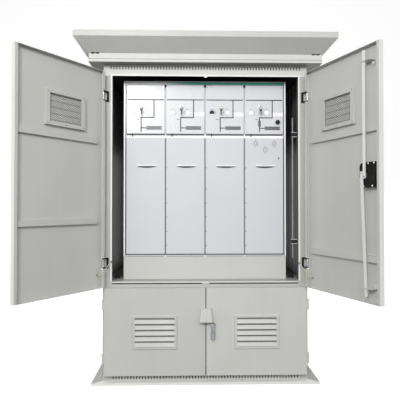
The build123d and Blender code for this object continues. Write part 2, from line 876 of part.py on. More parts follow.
def lock_rod(pin, tip):
    """Flat rod from an eye round the cam's pin, with a cross slot in it, to a chamfered tip."""
    slot_height = 2 * cam_pin_radius + 2 * rod_slot_play
    slot_length = cam_throw - pin_reach + 2 * cam_pin_radius + 2 * rod_slot_play
    eye_reach = cam_pin_radius + rod_slot_play + rod_end_margin
    eye_end = pin[1] - math.copysign(eye_reach, tip[1] - pin[1])
    with BuildPart() as rod:
        with BuildSketch(facing(rod_face)):
            with BuildLine():
                Polyline(
                    (pin[0] - rod_width / 2, eye_end),
                    (pin[0] + rod_width / 2, eye_end),
                    (tip[0] + rod_width / 2, tip[1]),
                    (tip[0] - rod_width / 2, tip[1]),
                    close=True,
                )
            make_face()
            with Locations(pin):
                Rectangle(slot_length, slot_height, mode=Mode.SUBTRACT)
        extrude(amount=-rod_thickness)
        tip_face = min(rod.faces(), key=lambda face: abs(face.center().Z - tip[1]))
        chamfer(tip_face.edges().filter_by(Axis.Y), rod_tip_chamfer)
    return rod.part


keep(hang(right_hand(lock_rod(upper_pin, upper_tip)), 1, right_open_angle), "upper_lock_rod")
keep(hang(right_hand(lock_rod(lower_pin, lower_tip)), 1, right_open_angle), "lower_lock_rod")

# Lower doors
lower_pan = door_pan(lower_door_bottom, lower_door_top, lower_hinge_heights, lower_louvre_place, vent_window)
latched_pan = door_pan(
    lower_door_bottom, lower_door_top, lower_hinge_heights, lower_louvre_place, vent_window,
    spindle_place=lower_spindle
)
lower_louvre = louvre_panel(lower_louvre_place)
lower_leaves = hinge_leaves(lower_hinge_heights)


def hood_solid(inset):
    """Hood that widens and deepens downwards, drawn in by an inset on every closed side."""
    hood_bottom = lower_door_bottom + hood_rise
    with BuildPart() as hood_form:
        with BuildSketch(Plane.XY.offset(hood_bottom)):
            with Locations((split_line, door_front - (hood_bottom_depth - inset) / 2)):
                Rectangle(hood_bottom_width - 2 * inset, hood_bottom_depth - inset)
        with BuildSketch(Plane.XY.offset(hood_bottom + hood_height - inset)):
            with Locations((split_line, door_front - (hood_top_depth - inset) / 2)):
                Rectangle(hood_top_width - 2 * inset, hood_top_depth - inset)
        loft()
    return hood_form.part


hood_edge = split_line - hood_split_gap / 2
with BuildPart() as padlock_hood:
    add(hood_solid(0))
    add(hood_solid(hood_sheet), mode=Mode.SUBTRACT)
    split(bisect_by=Plane.YZ.offset(hood_edge), keep=Keep.BOTTOM)
    with BuildSketch(Plane.YZ.offset(free_edge - lug_thickness)):
        with Locations((door_front - lug_reach / 2, lower_door_bottom + hood_rise + lug_height / 2)):
            Rectangle(lug_reach, lug_height)
        with Locations((door_front - lug_reach / 2, lower_door_bottom + hood_rise + lug_height / 2)):
            Circle(lug_hole_radius, mode=Mode.SUBTRACT)
    extrude(amount=lug_thickness)
keep(hang(lower_pan, -1, 0), "left_lower_door")
keep(hang(lower_louvre, -1, 0), "left_lower_louvre")
keep(hang(lower_leaves, -1, 0), "left_lower_hinge_leaves")
keep(hang(padlock_hood.part, -1, 0), "left_padlock_hood")
keep(hang(right_hand(latched_pan), 1, 0), "right_lower_door")
keep(hang(right_hand(lower_louvre), 1, 0), "right_lower_louvre")
keep(hang(right_hand(lower_leaves), 1, 0), "right_lower_hinge_leaves")
keep(hang(right_hand(padlock_hood.part), 1, 0), "right_padlock_hood")

# Handle and latch tongue of the right lower door
tongue_back = door_back + tongue_clearance
with BuildPart() as latch_tongue:
    with BuildSketch(facing(tongue_back)):
        with Locations((lower_spindle[0], lower_spindle[1] + (tongue_length - tongue_width / 2) / 2)):
            SlotOverall(tongue_length + tongue_width / 2, tongue_width, rotation=90)
    extrude(amount=-tongue_thickness)
keep(hang(right_hand(handle_plate(lower_spindle)), 1, 0), "lower_handle_plate")
keep(hang(right_hand(lever_handle(lower_spindle, tongue_back)), 1, 0), "lower_lever")
keep(hang(right_hand(latch_tongue.part), 1, 0), "latch_tongue")


def lead_route(side, frame_stud_level, door_stud, angle):
    """Points of an earth lead from the stud on the post, out and round the hinge, to the stud on the open door."""
    door_frame = Location((side * pin_x, pin_y, 0), (0, 0, side * angle))
    stud_end = skin_inside + door_stud_length + lead_stud_gap
    door_end = (door_frame * Location((-side * door_stud[0], stud_end, door_stud[1]))).position
    door_exit = (door_frame * Location((-side * door_stud[0], stud_end + lead_door_exit, door_stud[1]))).position
    frame_end = Vector(side * stud_x, lip_front - frame_stud_length - lead_stud_gap, frame_stud_level)
    frame_exit = frame_end - Vector(0, lead_frame_exit, 0)
    span = door_exit - frame_exit
    bows = [frame_exit + span * share - Vector(0, lead_bow, lead_sag) for share in lead_bow_shares]
    return [frame_end, frame_exit, *bows, door_exit, door_end]


def earth_lead(points):
    """Flexible lead: straight runs joined by the largest arcs that the runs allow."""
    runs = [after - before for before, after in zip(points, points[1:])]
    radii = []
    for before, after in zip(runs, runs[1:]):
        half_turn = math.radians(before.get_angle(after)) / 2
        radii.append(lead_bend_share * min(before.length, after.length) / math.tan(half_turn))
    with BuildPart() as lead:
        with BuildLine() as lead_line:
            FilletPolyline(*points, radius=radii)
        with BuildSketch(Plane(origin=points[0], z_dir=runs[0])):
            Circle(lead_radius)
        sweep(path=lead_line.wires()[0])
    return lead.part


left_lead_route = lead_route(-1, left_frame_stud_height, left_stud, left_open_angle)
right_lead_route = lead_route(1, right_frame_stud_height, right_stud, right_open_angle)
keep(earth_lead(left_lead_route), "left_earth_lead")
keep(earth_lead(right_lead_route), "right_earth_lead")

# Conduit on the right inner wall, held in two clamps
conduit_x = wall_inside - conduit_wall_gap
conduit_y = frame_front + conduit_setback
conduit_bottom = floor_top + conduit_rise
with BuildPart() as conduit:
    with BuildSketch(Plane.XY.offset(conduit_bottom)):
        with Locations((conduit_x, conduit_y)):
            Circle(conduit_radius)
    extrude(amount=conduit_length)
    for share in conduit_clamp_shares:
        with BuildSketch(Plane.XY.offset(conduit_bottom + share * conduit_length)):
            clamp_start = conduit_x - conduit_radius - conduit_clamp_nose
            with Locations(((clamp_start + wall_inside) / 2, conduit_y)):
                Rectangle(wall_inside - clamp_start, conduit_clamp_depth)
        extrude(amount=conduit_clamp_height)
keep(conduit.part, "conduit")

# Skirt under the switchgear
with BuildPart() as switchgear_skirt:
    with BuildSketch(Plane.XY.offset(floor_top)):
        with Locations((0, (gear_front + gear_back) / 2)):
            Rectangle(2 * skirt_half, switchgear_depth)
            Rectangle(2 * (skirt_half - skirt_sheet), switchgear_depth - 2 * skirt_sheet, mode=Mode.SUBTRACT)
    extrude(amount=skirt_height)
keep(switchgear_skirt.part, "switchgear_skirt")

# Switchgear housing: the switch tank above and behind, the cable bays open to the front and below
with BuildPart() as switchgear_housing:
    with BuildSketch(facing(gear_back)):
        with Locations((0, (skirt_top + gear_top) / 2)):
            Rectangle(2 * skirt_half, gear_top - skirt_top)
    extrude(amount=gear_back - gear_face)
    with BuildSketch(facing(gear_face)):
        with Locations((0, (skirt_top + gear_top) / 2)):
            with GridLocations(2 * gear_half + side_trim_width, 0, 2, 1):
                Rectangle(side_trim_width, gear_top - skirt_top)
    extrude(amount=panel_thickness + side_trim_proud)
    with BuildSketch(facing(gear_face)):
        with Locations((0, skirt_top + ledge_height / 2)):
            Rectangle(2 * gear_half, ledge_height)
    extrude(amount=panel_thickness)
    with BuildSketch(facing(gear_face)):
        bay_height = cover_top - bay_roof_drop - skirt_top
        for centre in module_centres:
            with Locations((centre, skirt_top + bay_height / 2)):
                Rectangle(module_pitch - bay_wall, bay_height)
    extrude(amount=-bay_depth, mode=Mode.SUBTRACT)
keep(switchgear_housing.part, "switchgear_housing")

# Strip along the top of the switchgear
with BuildPart() as switchgear_top_strip:
    with BuildSketch(facing(gear_face)):
        with Locations((0, fascia_top + top_strip_height / 2)):
            Rectangle(2 * gear_half, top_strip_height)
    extrude(amount=panel_thickness + top_strip_proud)
keep(switchgear_top_strip.part, "switchgear_top_strip")

# Mechanism fascias, the last with a stub for the selector knob
knob_place = (module_centres[-1] + knob_offset, fascia_top - knob_drop)
with BuildPart() as mechanism_fascias:
    with BuildSketch(facing(gear_face)):
        with Locations(*[(centre, (fascia_bottom + fascia_top) / 2) for centre in module_centres]):
            Rectangle(panel_width, fascia_height)
    extrude(amount=panel_thickness)
    front_faces = mechanism_fascias.faces().group_by(Axis.Y)[0]
    fillet(front_faces.edges(), panel_fillet)
    with BuildSketch(facing(gear_front)):
        with Locations(knob_place):
            Circle(knob_spindle_radius)
    extrude(amount=knob_spindle_length)
keep(mechanism_fascias.part, "mechanism_fascias")

# Bare nameplates
with BuildPart() as nameplates:
    with BuildSketch(facing(gear_front)):
        with Locations(*[(centre + plate_offset, fascia_top - plate_drop) for centre in module_centres]):
            Rectangle(plate_width, plate_height)
    extrude(amount=plate_thickness)
keep(nameplates.part, "nameplates")

# Shaft covers, and the one shaft that stands open on the third module
shaft_height = fascia_top - shaft_drop
open_shaft = (module_centres[2] + shaft_left_offset, shaft_height)
shaft_places = [
    (centre + shift, shaft_height) for centre in module_centres for shift in (shaft_left_offset, shaft_right_offset)
]
with BuildPart() as shaft_covers:
    with BuildSketch(facing(gear_front)):
        with Locations(*[place for place in shaft_places if place != open_shaft]):
            Circle(shaft_cover_radius)
    extrude(amount=shaft_cover_depth)
    fillet(shaft_covers.faces().group_by(Axis.Y)[0].edges(), shaft_cover_fillet)
keep(shaft_covers.part, "shaft_covers")

with BuildPart() as shaft_socket:
    with BuildSketch(facing(gear_front)):
        with Locations(open_shaft):
            Circle(socket_radius)
    extrude(amount=socket_depth)
    with BuildSketch(facing(gear_front - socket_floor)):
        with Locations(open_shaft):
            Circle(socket_radius - socket_wall)
            RegularPolygon(socket_shaft_radius, 6, mode=Mode.SUBTRACT)
    extrude(amount=socket_depth, mode=Mode.SUBTRACT)
keep(shaft_socket.part, "shaft_socket")

# Key locks, and a key with its plug in each
lock_height = fascia_top - lock_drop
with BuildPart() as key_locks:
    with BuildSketch(facing(gear_front)):
        with Locations(*[(centre + lock_offset, lock_height) for centre in module_centres]):
            Circle(lock_radius)
            Circle(plug_radius + pin_clearance, mode=Mode.SUBTRACT)
    extrude(amount=lock_depth)
keep(key_locks.part, "key_locks")

plug_back = gear_front - plug_gap
plug_front = gear_front - lock_depth - plug_proud
bow_centre = plug_front - key_blade_length - key_bow_radius
for number, centre in enumerate(module_centres, start=1):
    key_x = centre + lock_offset
    with BuildPart() as key:
        with BuildSketch(facing(plug_back)):
            with Locations((key_x, lock_height)):
                Circle(plug_radius)
        extrude(amount=plug_back - plug_front)
        with BuildSketch(Plane.YZ.offset(key_x - key_thickness / 2)):
            with Locations(((plug_front + bow_centre) / 2, lock_height)):
                Rectangle(plug_front - bow_centre, key_blade_width)
            with Locations((bow_centre, lock_height)):
                Circle(key_bow_radius)
            with Locations((bow_centre - key_bow_radius / 2, lock_height)):
                Circle(key_hole_radius, mode=Mode.SUBTRACT)
        extrude(amount=key_thickness)
    keep(key.part, f"key_{number}")

# Selector knob on its stub
knob_back = gear_front - knob_gap
with BuildPart() as selector_knob:
    with BuildSketch(facing(knob_back)):
        with Locations(knob_place):
            Circle(knob_radius)
    extrude(amount=knob_depth)
    fillet(selector_knob.faces().sort_by(Axis.Y)[0].edges(), knob_fillet)
    with BuildSketch(facing(knob_back - knob_depth)):
        with Locations(knob_place):
            Rectangle(knob_ridge_width, 2 * (knob_radius - knob_fillet))
    extrude(amount=knob_ridge_depth)
    with BuildSketch(facing(knob_back)):
        with Locations(knob_place):
            Circle(knob_spindle_radius + pin_clearance)
    extrude(amount=knob_spindle_length, mode=Mode.SUBTRACT)
keep(selector_knob.part, "selector_knob")

# Cable covers that lift off their ledge by a hooded finger grip
cover_back = gear_face - cover_clearance
grip_level = cover_top - grip_drop


def grip_form(grip_x, width, top, foot, setback):
    """Hood that leans out from the cover, set back from the grip's outer slope."""
    slope = Plane(
        origin=(grip_x, gear_front - grip_edge, grip_level),
        x_dir=(1, 0, 0),
        z_dir=(0, -grip_fall, grip_proud - grip_edge),
    )
    with BuildPart() as form:
        with BuildSketch(facing(gear_front)):
            with Locations((grip_x, (top + foot) / 2)):
                Rectangle(width, top - foot)
        extrude(amount=grip_proud)
        split(bisect_by=slope.offset(-setback), keep=Keep.BOTTOM)
    return form.part


grip_foot = grip_level - grip_fall
pocket_top = grip_level - grip_wall
for number, centre in enumerate(module_centres, start=1):
    grip_x = centre + grip_shift
    inner_width = grip_width - 2 * grip_end_wall
    recess_left = grip_x - inner_width / 2
    recess_right = grip_x + inner_width / 2
    with BuildPart() as cover:
        with BuildSketch(facing(cover_back)):
            with Locations((centre, (cover_bottom + cover_top) / 2)):
                Rectangle(panel_width, cover_height)
        extrude(amount=cover_back - gear_front)
        fillet(cover.faces().sort_by(Axis.Y)[0].edges(), panel_fillet)
        add(grip_form(grip_x, grip_width, grip_level, grip_foot, 0))
        add(
            grip_form(grip_x, inner_width, pocket_top, grip_foot - cut_overrun, grip_wall),
            mode=Mode.SUBTRACT,
        )
        with BuildSketch(facing(gear_front)):
            with BuildLine():
                recess_sill = ThreePointArc(
                    (recess_left, grip_level - recess_end_fall),
                    (grip_x, grip_level - recess_middle_fall),
                    (recess_right, grip_level - recess_end_fall),
                )
                Polyline(
                    recess_sill @ 1,
                    (recess_right, pocket_top),
                    (recess_left, pocket_top),
                    recess_sill @ 0,
                )
            make_face()
        extrude(amount=-recess_depth, mode=Mode.SUBTRACT)
    keep(cover.part, f"cable_cover_{number}")

# Cable bushings on the tank wall at the back of the bays
with BuildPart() as bushing:
    with BuildSketch(Plane.YX):
        with BuildLine():
            Polyline(
                (0, 0),
                (0, bushing_flange_radius),
                (-bushing_flange_depth, bushing_flange_radius),
                (-bushing_flange_depth, bushing_root_radius),
                (-bushing_length, bushing_tip_radius),
                (-bushing_length, 0),
                close=True,
            )
        make_face()
    revolve(axis=Axis.Y)
with BuildPart() as cable_bushings:
    for centre in module_centres:
        with Locations((centre, bay_back, skirt_top + bushing_rise)):
            with GridLocations(bushing_spacing, 0, bushing_count, 1):
                add(bushing.part)
keep(cable_bushings.part, "cable_bushings")
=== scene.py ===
import bpy
import bmesh
import math
from mathutils import Matrix, Vector


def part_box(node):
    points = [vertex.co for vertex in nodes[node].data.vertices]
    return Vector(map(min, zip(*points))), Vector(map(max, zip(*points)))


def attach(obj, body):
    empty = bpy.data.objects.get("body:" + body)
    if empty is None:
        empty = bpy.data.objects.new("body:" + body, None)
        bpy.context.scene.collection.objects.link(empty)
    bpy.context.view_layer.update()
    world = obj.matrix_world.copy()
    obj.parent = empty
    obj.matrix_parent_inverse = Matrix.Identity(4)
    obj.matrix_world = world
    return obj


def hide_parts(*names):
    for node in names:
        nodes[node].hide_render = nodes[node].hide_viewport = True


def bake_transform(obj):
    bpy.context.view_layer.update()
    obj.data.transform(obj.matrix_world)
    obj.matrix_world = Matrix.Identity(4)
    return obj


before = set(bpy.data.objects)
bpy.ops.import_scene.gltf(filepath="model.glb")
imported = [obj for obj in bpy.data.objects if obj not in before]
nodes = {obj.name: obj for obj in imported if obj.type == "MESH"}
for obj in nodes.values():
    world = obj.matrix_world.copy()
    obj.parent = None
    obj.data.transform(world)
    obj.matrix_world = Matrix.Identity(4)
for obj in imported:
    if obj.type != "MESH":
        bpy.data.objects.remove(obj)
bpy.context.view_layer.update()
scene = bpy.context.scene
sides = ("left", "right")
print("kiosk: frame loaded,", len(nodes), "nodes")


def linkNew(name, data):
    thing = bpy.data.objects.new(name, data)
    scene.collection.objects.link(thing)
    return thing


# camera at the photograph's viewing angle
shot = {
    "place": (-0.1273, -3.9892, 1.317), "tiltUp": 0.868, "swing": -1.387,
    "lens": 41.598, "sensor": 36.0, "clipEnd": 100.0,
}

eye = bpy.data.cameras.new("photoCamera")
eye.sensor_width = shot["sensor"]
eye.lens = shot["lens"]
eye.clip_end = shot["clipEnd"]
camera = linkNew("photoCamera", eye)
camera.location = shot["place"]
camera.rotation_euler = (math.radians(90 + shot["tiltUp"]), 0, math.radians(shot["swing"]))
scene.camera = camera
print("kiosk: camera set")


# shader maths: a socket that can be reckoned with
def reckon(operation, swapped=False):
    return lambda flow, other: flow.maths(operation, other, swapped)


class Flow:
    def __init__(self, bench, socket):
        self.bench = bench
        self.socket = socket

    def maths(self, operation, other=None, swapped=False):
        pair = (other, self) if swapped else (self, other)
        given = {i: value for i, value in enumerate(pair) if value is not None}
        return self.bench.node("Math", {"operation": operation}, given)

    def __abs__(self):
        return self.maths("ABSOLUTE")

    __add__ = __radd__ = reckon("ADD")
    __mul__ = __rmul__ = reckon("MULTIPLY")
    __sub__, __rsub__ = reckon("SUBTRACT"), reckon("SUBTRACT", True)
    __truediv__, __rtruediv__ = reckon("DIVIDE"), reckon("DIVIDE", True)
    __gt__, __lt__ = reckon("GREATER_THAN"), reckon("LESS_THAN")


def between(value, low, high):
    return (value > low) * (value < high)


# signed distance from the nearest of a row of lines
def fromRow(value, pitch):
    return ((value / pitch + 0.5).maths("FRACT") - 0.5) * pitch


class Bench:
    def __init__(self, name):
        self.material = bpy.data.materials.new(name)
        self.material.use_nodes = True
        self.tree = self.material.node_tree
        self.shader = self.tree.nodes["Principled BSDF"]
        self.place = self.node("TexCoord", output="Object")
        self.x = self.node("SeparateXYZ", None, {0: self.place}, 0)
        self.y = Flow(self, self.x.socket.node.outputs[1])
        self.z = Flow(self, self.x.socket.node.outputs[2])

    def node(self, kind, settings=None, sockets=None, output=0):
        made = self.tree.nodes.new("ShaderNode" + kind)
        for key, value in (settings or {}).items():
            setattr(made, key, value)
        for key, value in (sockets or {}).items():
            self.feed(made.inputs[key], value)
        return Flow(self, made.outputs[output])

    def feed(self, socket, value):
        if isinstance(value, Flow):
            self.tree.links.new(value.socket, socket)
        elif socket.type == "RGBA":
            socket.default_value = (*value, 1.0)
        else:
            socket.default_value = value

    def noise(self, scale, detail, stretch=None):
        where = self.place
        if stretch:
            where = self.node("VectorMath", {"operation": "MULTIPLY"}, {0: where, 1: stretch})
        return self.node("TexNoise", None, {"Vector": where, "Scale": scale, "Detail": detail})

    def ease(self, value, low, high):
        given = {"Value": value, "From Min": low, "From Max": high}
        return self.node("MapRange", {"interpolation_type": "SMOOTHSTEP"}, given)

    def blend(self, share, first, second, kind="MIX"):
        settings = {"data_type": "RGBA", "blend_type": kind}
        return self.node("Mix", settings, {0: share, 6: first, 7: second}, 2)

    # 1 within a region's spans, 0 outside them
    def inside(self, region):
        masks = [between(getattr(self, axis), *span) for axis, span in region.items()]
        return math.prod(masks[1:], start=masks[0])

    def layered(self, colour, layers):
        for region, tone in layers:
            colour = self.blend(self.inside(region), colour, tone)
        return colour

    # colour, roughness that follows a share, a grain's dents, and constants
    def coat(self, look, colour, share, grain, **constants):
        rough, rougher = look["rough"]
        strength, distance = look["dent"]
        normal = self.node("Bump", None, {"Height": grain, "Strength": strength, "Distance": distance})
        sockets = dict(Base_Color=colour, Roughness=rough + share * rougher, Normal=normal, **constants)
        for key, value in sockets.items():
            self.feed(self.shader.inputs[key.replace("_", " ")], value)
        return self.material


# a door's own frame: across from its hinge pin, out of its inner face, up
hingePin = {"x": 0.765, "y": -0.534}
hung = {
    "left_upper_leaf": (-1, 125.5),
    "right_upper_leaf": (1, 111.2),
    "left_lower_leaf": (-1, 0.0),
    "right_lower_leaf": (1, 0.0),
}


def doorFrame(leaf):
    side, angle = hung[leaf]
    pin = Matrix.Translation((side * hingePin["x"], hingePin["y"], 0))
    swing = Matrix.Rotation(math.radians(side * angle), 4, "Z")
    return pin @ swing @ Matrix.Diagonal((-side, 1.0, 1.0, 1.0))


def inwardOf(place):
    return place.to_3x3() @ Vector((0, 1, 0))


# sheet paint: cloudy tone, faint run marks, specks
sheetSkin = {"runShare": 0.25, "toneEdge": (0.35, 0.65), "speckEdge": (0.70, 0.78)}


def paintSkin(bench, look, colour):
    runs = sheetSkin["runShare"]
    mixed = bench.noise(*look["cloud"]) * (1 - runs) + bench.noise(*look["runs"]) * runs
    tone = bench.ease(mixed, *sheetSkin["toneEdge"])
    specks = bench.ease(bench.noise(*look["specks"]), *sheetSkin["speckEdge"])
    dirty = bench.blend(tone * look["mottle"], colour, look["dirt"], "MULTIPLY")
    return bench.blend(specks * look["speckShare"], dirty, look["speck"]), tone


rainLip = {"x": (-0.7155, 0.7155), "y": (-0.5050, -0.5018), "z": (0.746, 2.32)}
enclosureLook = {
    "colour": (0.475, 0.479, 0.457),
    "cloud": (1.7, 4.0), "runs": (22.0, 5.0, (1.0, 1.0, 0.06)), "peel": (520.0, 2.0), "specks": (160.0, 2.0),
    "dirt": (0.86, 0.855, 0.82), "mottle": 0.35,
    "speck": (0.30, 0.29, 0.26), "speckShare": 0.25,
    "rough": (0.40, 0.14), "dent": (0.10, 0.0006), "sheen": 0.42,
    "layers": [
        # painted highlight on the rain lip around the opening
        (rainLip, (0.74, 0.745, 0.725)),
        ({**rainLip, "z": (0.746, 0.765)}, (0.56, 0.565, 0.545)),  # the sill, a painted highlight
        ({"z": (2.3915, 2.4535)}, (0.545, 0.55, 0.53)),  # the band under the eaves, a painted highlight
        # painted shade under the hem of the band
        ({"z": (2.4100, 2.4142)}, (0.12, 0.12, 0.115)),
    ],
    # where and how the inside of the shell is painted with shade
    "shell": {"x": (-0.7688, 0.7688), "y": (-0.4968, 0.4988), "z": (0.0205, 2.3888)},
    "deepShade": (0.060, 0.060, 0.063),
    "wallAt": 0.750, "lining": (0.768, 2.36), "wallFade": (1.872, 2.31),
    "wallLow": (0.170, 0.172, 0.170), "wallMid": (0.13, 0.13, 0.13), "wallTop": (0.42, 0.42, 0.42),
    "ribs": 7.6, "ribEdge": (0.2, 0.9), "ribShare": 0.75,
    "floor": {"z": (0.70, 0.765)}, "floorFade": (-0.45, -0.08),
    "floorTones": ((0.36, 0.36, 0.35), (0.035, 0.035, 0.035)),
    "hingeFade": (0.03, 0.34), "hingeSideLight": (0.520, 0.524, 0.500),
    "edgeAt": 0.7592, "edgeHighlight": (0.665, 0.67, 0.645),
    "flangeTop": {"z": (0.0192, 0.0215)}, "flange": 0.27, "baseSideShade": (0.50, 0.50, 0.49),
    "splash": (9.0, 5.0), "splashRise": (0.02, 0.30), "splashShare": 0.08,
}


# painted light and shade inside the shell: dark ribbed walls that turn lighter towards their tops, the
# darkest tone on the ceiling and in the rib grooves, and a floor that darkens towards the back
def paintedInsideShade(bench, look):
    rib = abs((bench.y * look["ribs"]).maths("FRACT") - 0.5) * 2
    ribbed = 1 - bench.ease(rib, *look["ribEdge"]) * look["ribShare"]
    wall = (abs(bench.x) > look["wallAt"]) * between(bench.z, *look["lining"])
    upper = bench.blend(bench.ease(bench.z, *look["wallFade"]), look["wallMid"], look["wallTop"])
    sheet = bench.blend(bench.z > look["wallFade"][0], look["wallLow"], upper)
    lining = bench.blend(wall * ribbed, look["deepShade"], sheet)
    floor = bench.blend(bench.ease(bench.y, *look["floorFade"]), *look["floorTones"])
    return bench.blend(bench.inside(look["floor"]), lining, floor)


# shade scales a piece's paint, as painted light or shade on most pieces and as a paler paint on the lock
# rods; shadedInside adds painted shade inside the shell, and a leaf gets painted light on its hinge side and
# a painted highlight on its free edge
def enclosurePaint(name, shade=1.0, shadedInside=True, leaf=None):
    look = enclosureLook
    bench = Bench(name)
    base = bench.layered([c * shade for c in look["colour"]], look["layers"])
    if shadedInside:
        base = bench.blend(bench.inside(look["shell"]), base, paintedInsideShade(bench, look))
    # painted light on a leaf's hinge side and a painted highlight on its free edge
    if leaf:
        place = doorFrame(leaf)
        pin, along = place.translation, place.col[0]
        across = (bench.x - pin.x) * along.x + (bench.y - pin.y) * along.y
        base = bench.blend(bench.ease(across, *look["hingeFade"]), look["hingeSideLight"], base)
        base = bench.blend(across > look["edgeAt"], base, look["edgeHighlight"])
    colour, tone = paintSkin(bench, look, base)
    # painted shade on the top of the base flange at the sides and back
    baseSideShade = bench.inside(look["flangeTop"]) * (abs(bench.x) + bench.y > look["flange"])
    colour = bench.blend(baseSideShade, colour, look["baseSideShade"], "MULTIPLY")
    splash = (1 - bench.ease(bench.z, *look["splashRise"])) * bench.noise(*look["splash"])
    colour = bench.blend(splash * look["splashShare"], colour, look["dirt"], "MULTIPLY")
    return bench.coat(look, colour, tone, bench.noise(*look["peel"]), Specular_IOR_Level=look["sheen"])


switchgearLook = {
    "colour": (0.565, 0.575, 0.595),
    "cloud": (2.4, 4.0), "runs": (16.0, 5.0, (1.0, 1.0, 0.06)), "peel": (700.0, 2.0), "specks": (210.0, 2.0),
    "dirt": (0.93, 0.93, 0.93), "mottle": 0.3,
    "speck": (0.45, 0.45, 0.45), "speckShare": 0.12,
    "rough": (0.46, 0.06), "dent": (0.03, 0.0003), "sheen": 0.5,
    "fasciaGloss": 3.5,  # in steps of the second roughness
    "whiteTrimAndHighlight": (0.88, 0.88, 0.89), "gapShade": (0.06, 0.06, 0.065), "seamShade": (0.15, 0.15, 0.155),
    "ledgeHighlight": (0.90, 0.90, 0.90), "bayShade": (0.10, 0.10, 0.10), "footHighlight": (0.60, 0.60, 0.61),
    "pitch": 0.310, "halfGap": 0.0045, "halfSlit": 0.0016,
    "face": (-0.3603, -0.3591),
    "fasciaFoot": (1.8785, 1.8905), "coverTop": 1.859,
    "coverFoot": (0.9425, 0.9505), "footStrip": (0.9350, 0.9425),
    "footLine": (0.9305, 0.9362), "footGap": 0.011,
    "grip": (1.60, 1.648), "gripFace": -0.3712, "gripShift": 0.008, "gripHalf": 0.073, "gripSag": 0.0055,
    # painted shade in the hollow under each grip lip
    "gripHollow": {"y": (-0.3652, -0.3630), "z": (1.615, 1.647)},
    "edgeGap": (0.6195, 0.6238), "edgeGapFace": -0.3605, "trimFace": -0.372,
    # painted shade in the bay behind the housing face
    "bay": {"x": (-0.619, 0.619), "y": (-0.3573, 0.36)},
}


def switchgearPaint(name, look):
    bench = Bench(name)
    across, up = abs(bench.x), bench.z
    inner, outer = look["edgeGap"]
    inFront = across < inner
    onFace = between(bench.y, *look["face"])
    atFoot = (bench.y < look["face"][1]) * inFront
    fromGap = abs(fromRow(bench.x, look["pitch"]))
    # painted shade in the module gaps on the housing face
    inGap = fromGap < look["halfGap"]
    ledgeFoot, (ledgeTop, fasciaFoot) = look["coverTop"], look["fasciaFoot"]
    # painted highlight on the housing face between the covers and the fascias
    ledge = between(up, ledgeFoot, ledgeTop).maths("MAXIMUM", inGap * between(up, ledgeFoot, fasciaFoot))
    # painted shadow under the fascias and at the foot of the covers
    feet = onFace * inFront * between(up, *look["fasciaFoot"]) + atFoot * between(up, *look["coverFoot"])
    # painted shadow line at the top of the skirt, broken near the module gaps
    footLine = atFoot * between(up, *look["footLine"]) * (fromGap > look["footGap"])
    # a painted highlight down each module gap between the fascias
    slit = onFace * (fromGap < look["halfSlit"]) * (up > fasciaFoot)
    trim = (across > inner) * (bench.y < look["trimFace"])
    # painted highlight on the grip lips, under a curved top edge
    fromMiddle = fromRow(bench.x - look["gripShift"] - look["pitch"] / 2, look["pitch"])
    sag = look["gripSag"] * (1 - fromMiddle * fromMiddle / look["gripHalf"] ** 2)
    gripLow, gripTop = look["grip"]
    hood = inFront * (bench.y < look["gripFace"]) * between(up, gripLow, gripTop - sag)
    # painted shade in the gaps beside the side trims
    seal = between(across, inner, outer) * (bench.y < look["edgeGapFace"])
    colour = look["colour"]
    for mask, tone in (
        (onFace * inFront * inGap, "seamShade"),
        (feet, "gapShade"),
        # painted highlight on the strip below the covers
        (atFoot * between(up, *look["footStrip"]), "footHighlight"),
        (footLine, "seamShade"),
        (onFace * inFront * ledge, "ledgeHighlight"),
        (slit.maths("MAXIMUM", trim).maths("MAXIMUM", hood), "whiteTrimAndHighlight"),
        (seal, "gapShade"),
        (bench.inside(look["gripHollow"]), "gapShade"),
        (bench.inside(look["bay"]), "bayShade"),
    ):
        colour = bench.blend(mask, colour, look[tone])
    colour, tone = paintSkin(bench, look, colour)
    tone = tone - (up > fasciaFoot) * look["fasciaGloss"]
    return bench.coat(look, colour, tone, bench.noise(*look["peel"]), Specular_IOR_Level=look["sheen"])


stripLook = {
    "green": (0.045, 0.35, 0.25),
    "paleAndGlare": (0.78, 0.80, 0.79),
    "fade": (-0.42, -0.10), "waver": 0.05,
    "edge": {"y": (-1.0, -0.3605), "z": (2.2985, 3.0)},
    "grain": (60.0, 4.0, (0.15, 1.0, 1.0)), "grainTone": (0.8, 0.82, 0.8), "grainShare": 0.35,
    "rough": (0.28, 0.2), "dent": (0.05, 0.0004), "coat": 0.3,
}


def stripFinish(name, look):
    bench = Bench(name)
    grain = bench.noise(*look["grain"])
    # painted glare: the strip turns pale towards its left end; the front of its top edge is pale too
    glareShare = bench.ease(bench.x + (grain - 0.5) * look["waver"], *look["fade"])
    colour = bench.blend(glareShare, look["paleAndGlare"], look["green"])
    colour = bench.layered(colour, [(look["edge"], look["paleAndGlare"])])
    colour = bench.blend(grain * look["grainShare"], colour, look["grainTone"], "MULTIPLY")
    return bench.coat(look, colour, grain, grain, Coat_Weight=look["coat"])


zincLook = {
    "spangle": 120.0, "brush": (8.0, 5.0, (60.0, 60.0, 3.0)), "fade": (0.25, 0.7),
    "rough": (0.30, 0.22), "dent": (0.12, 0.0003), "metal": 0.85,
    "zincSteel": ((0.44, 0.46, 0.50), (0.28, 0.29, 0.32)),
    "leverZinc": ((0.27, 0.275, 0.285), (0.15, 0.153, 0.165)),
    "hingeZinc": ((0.52, 0.52, 0.52), (0.34, 0.34, 0.34)),
    "hingeReach": 0.014,
}


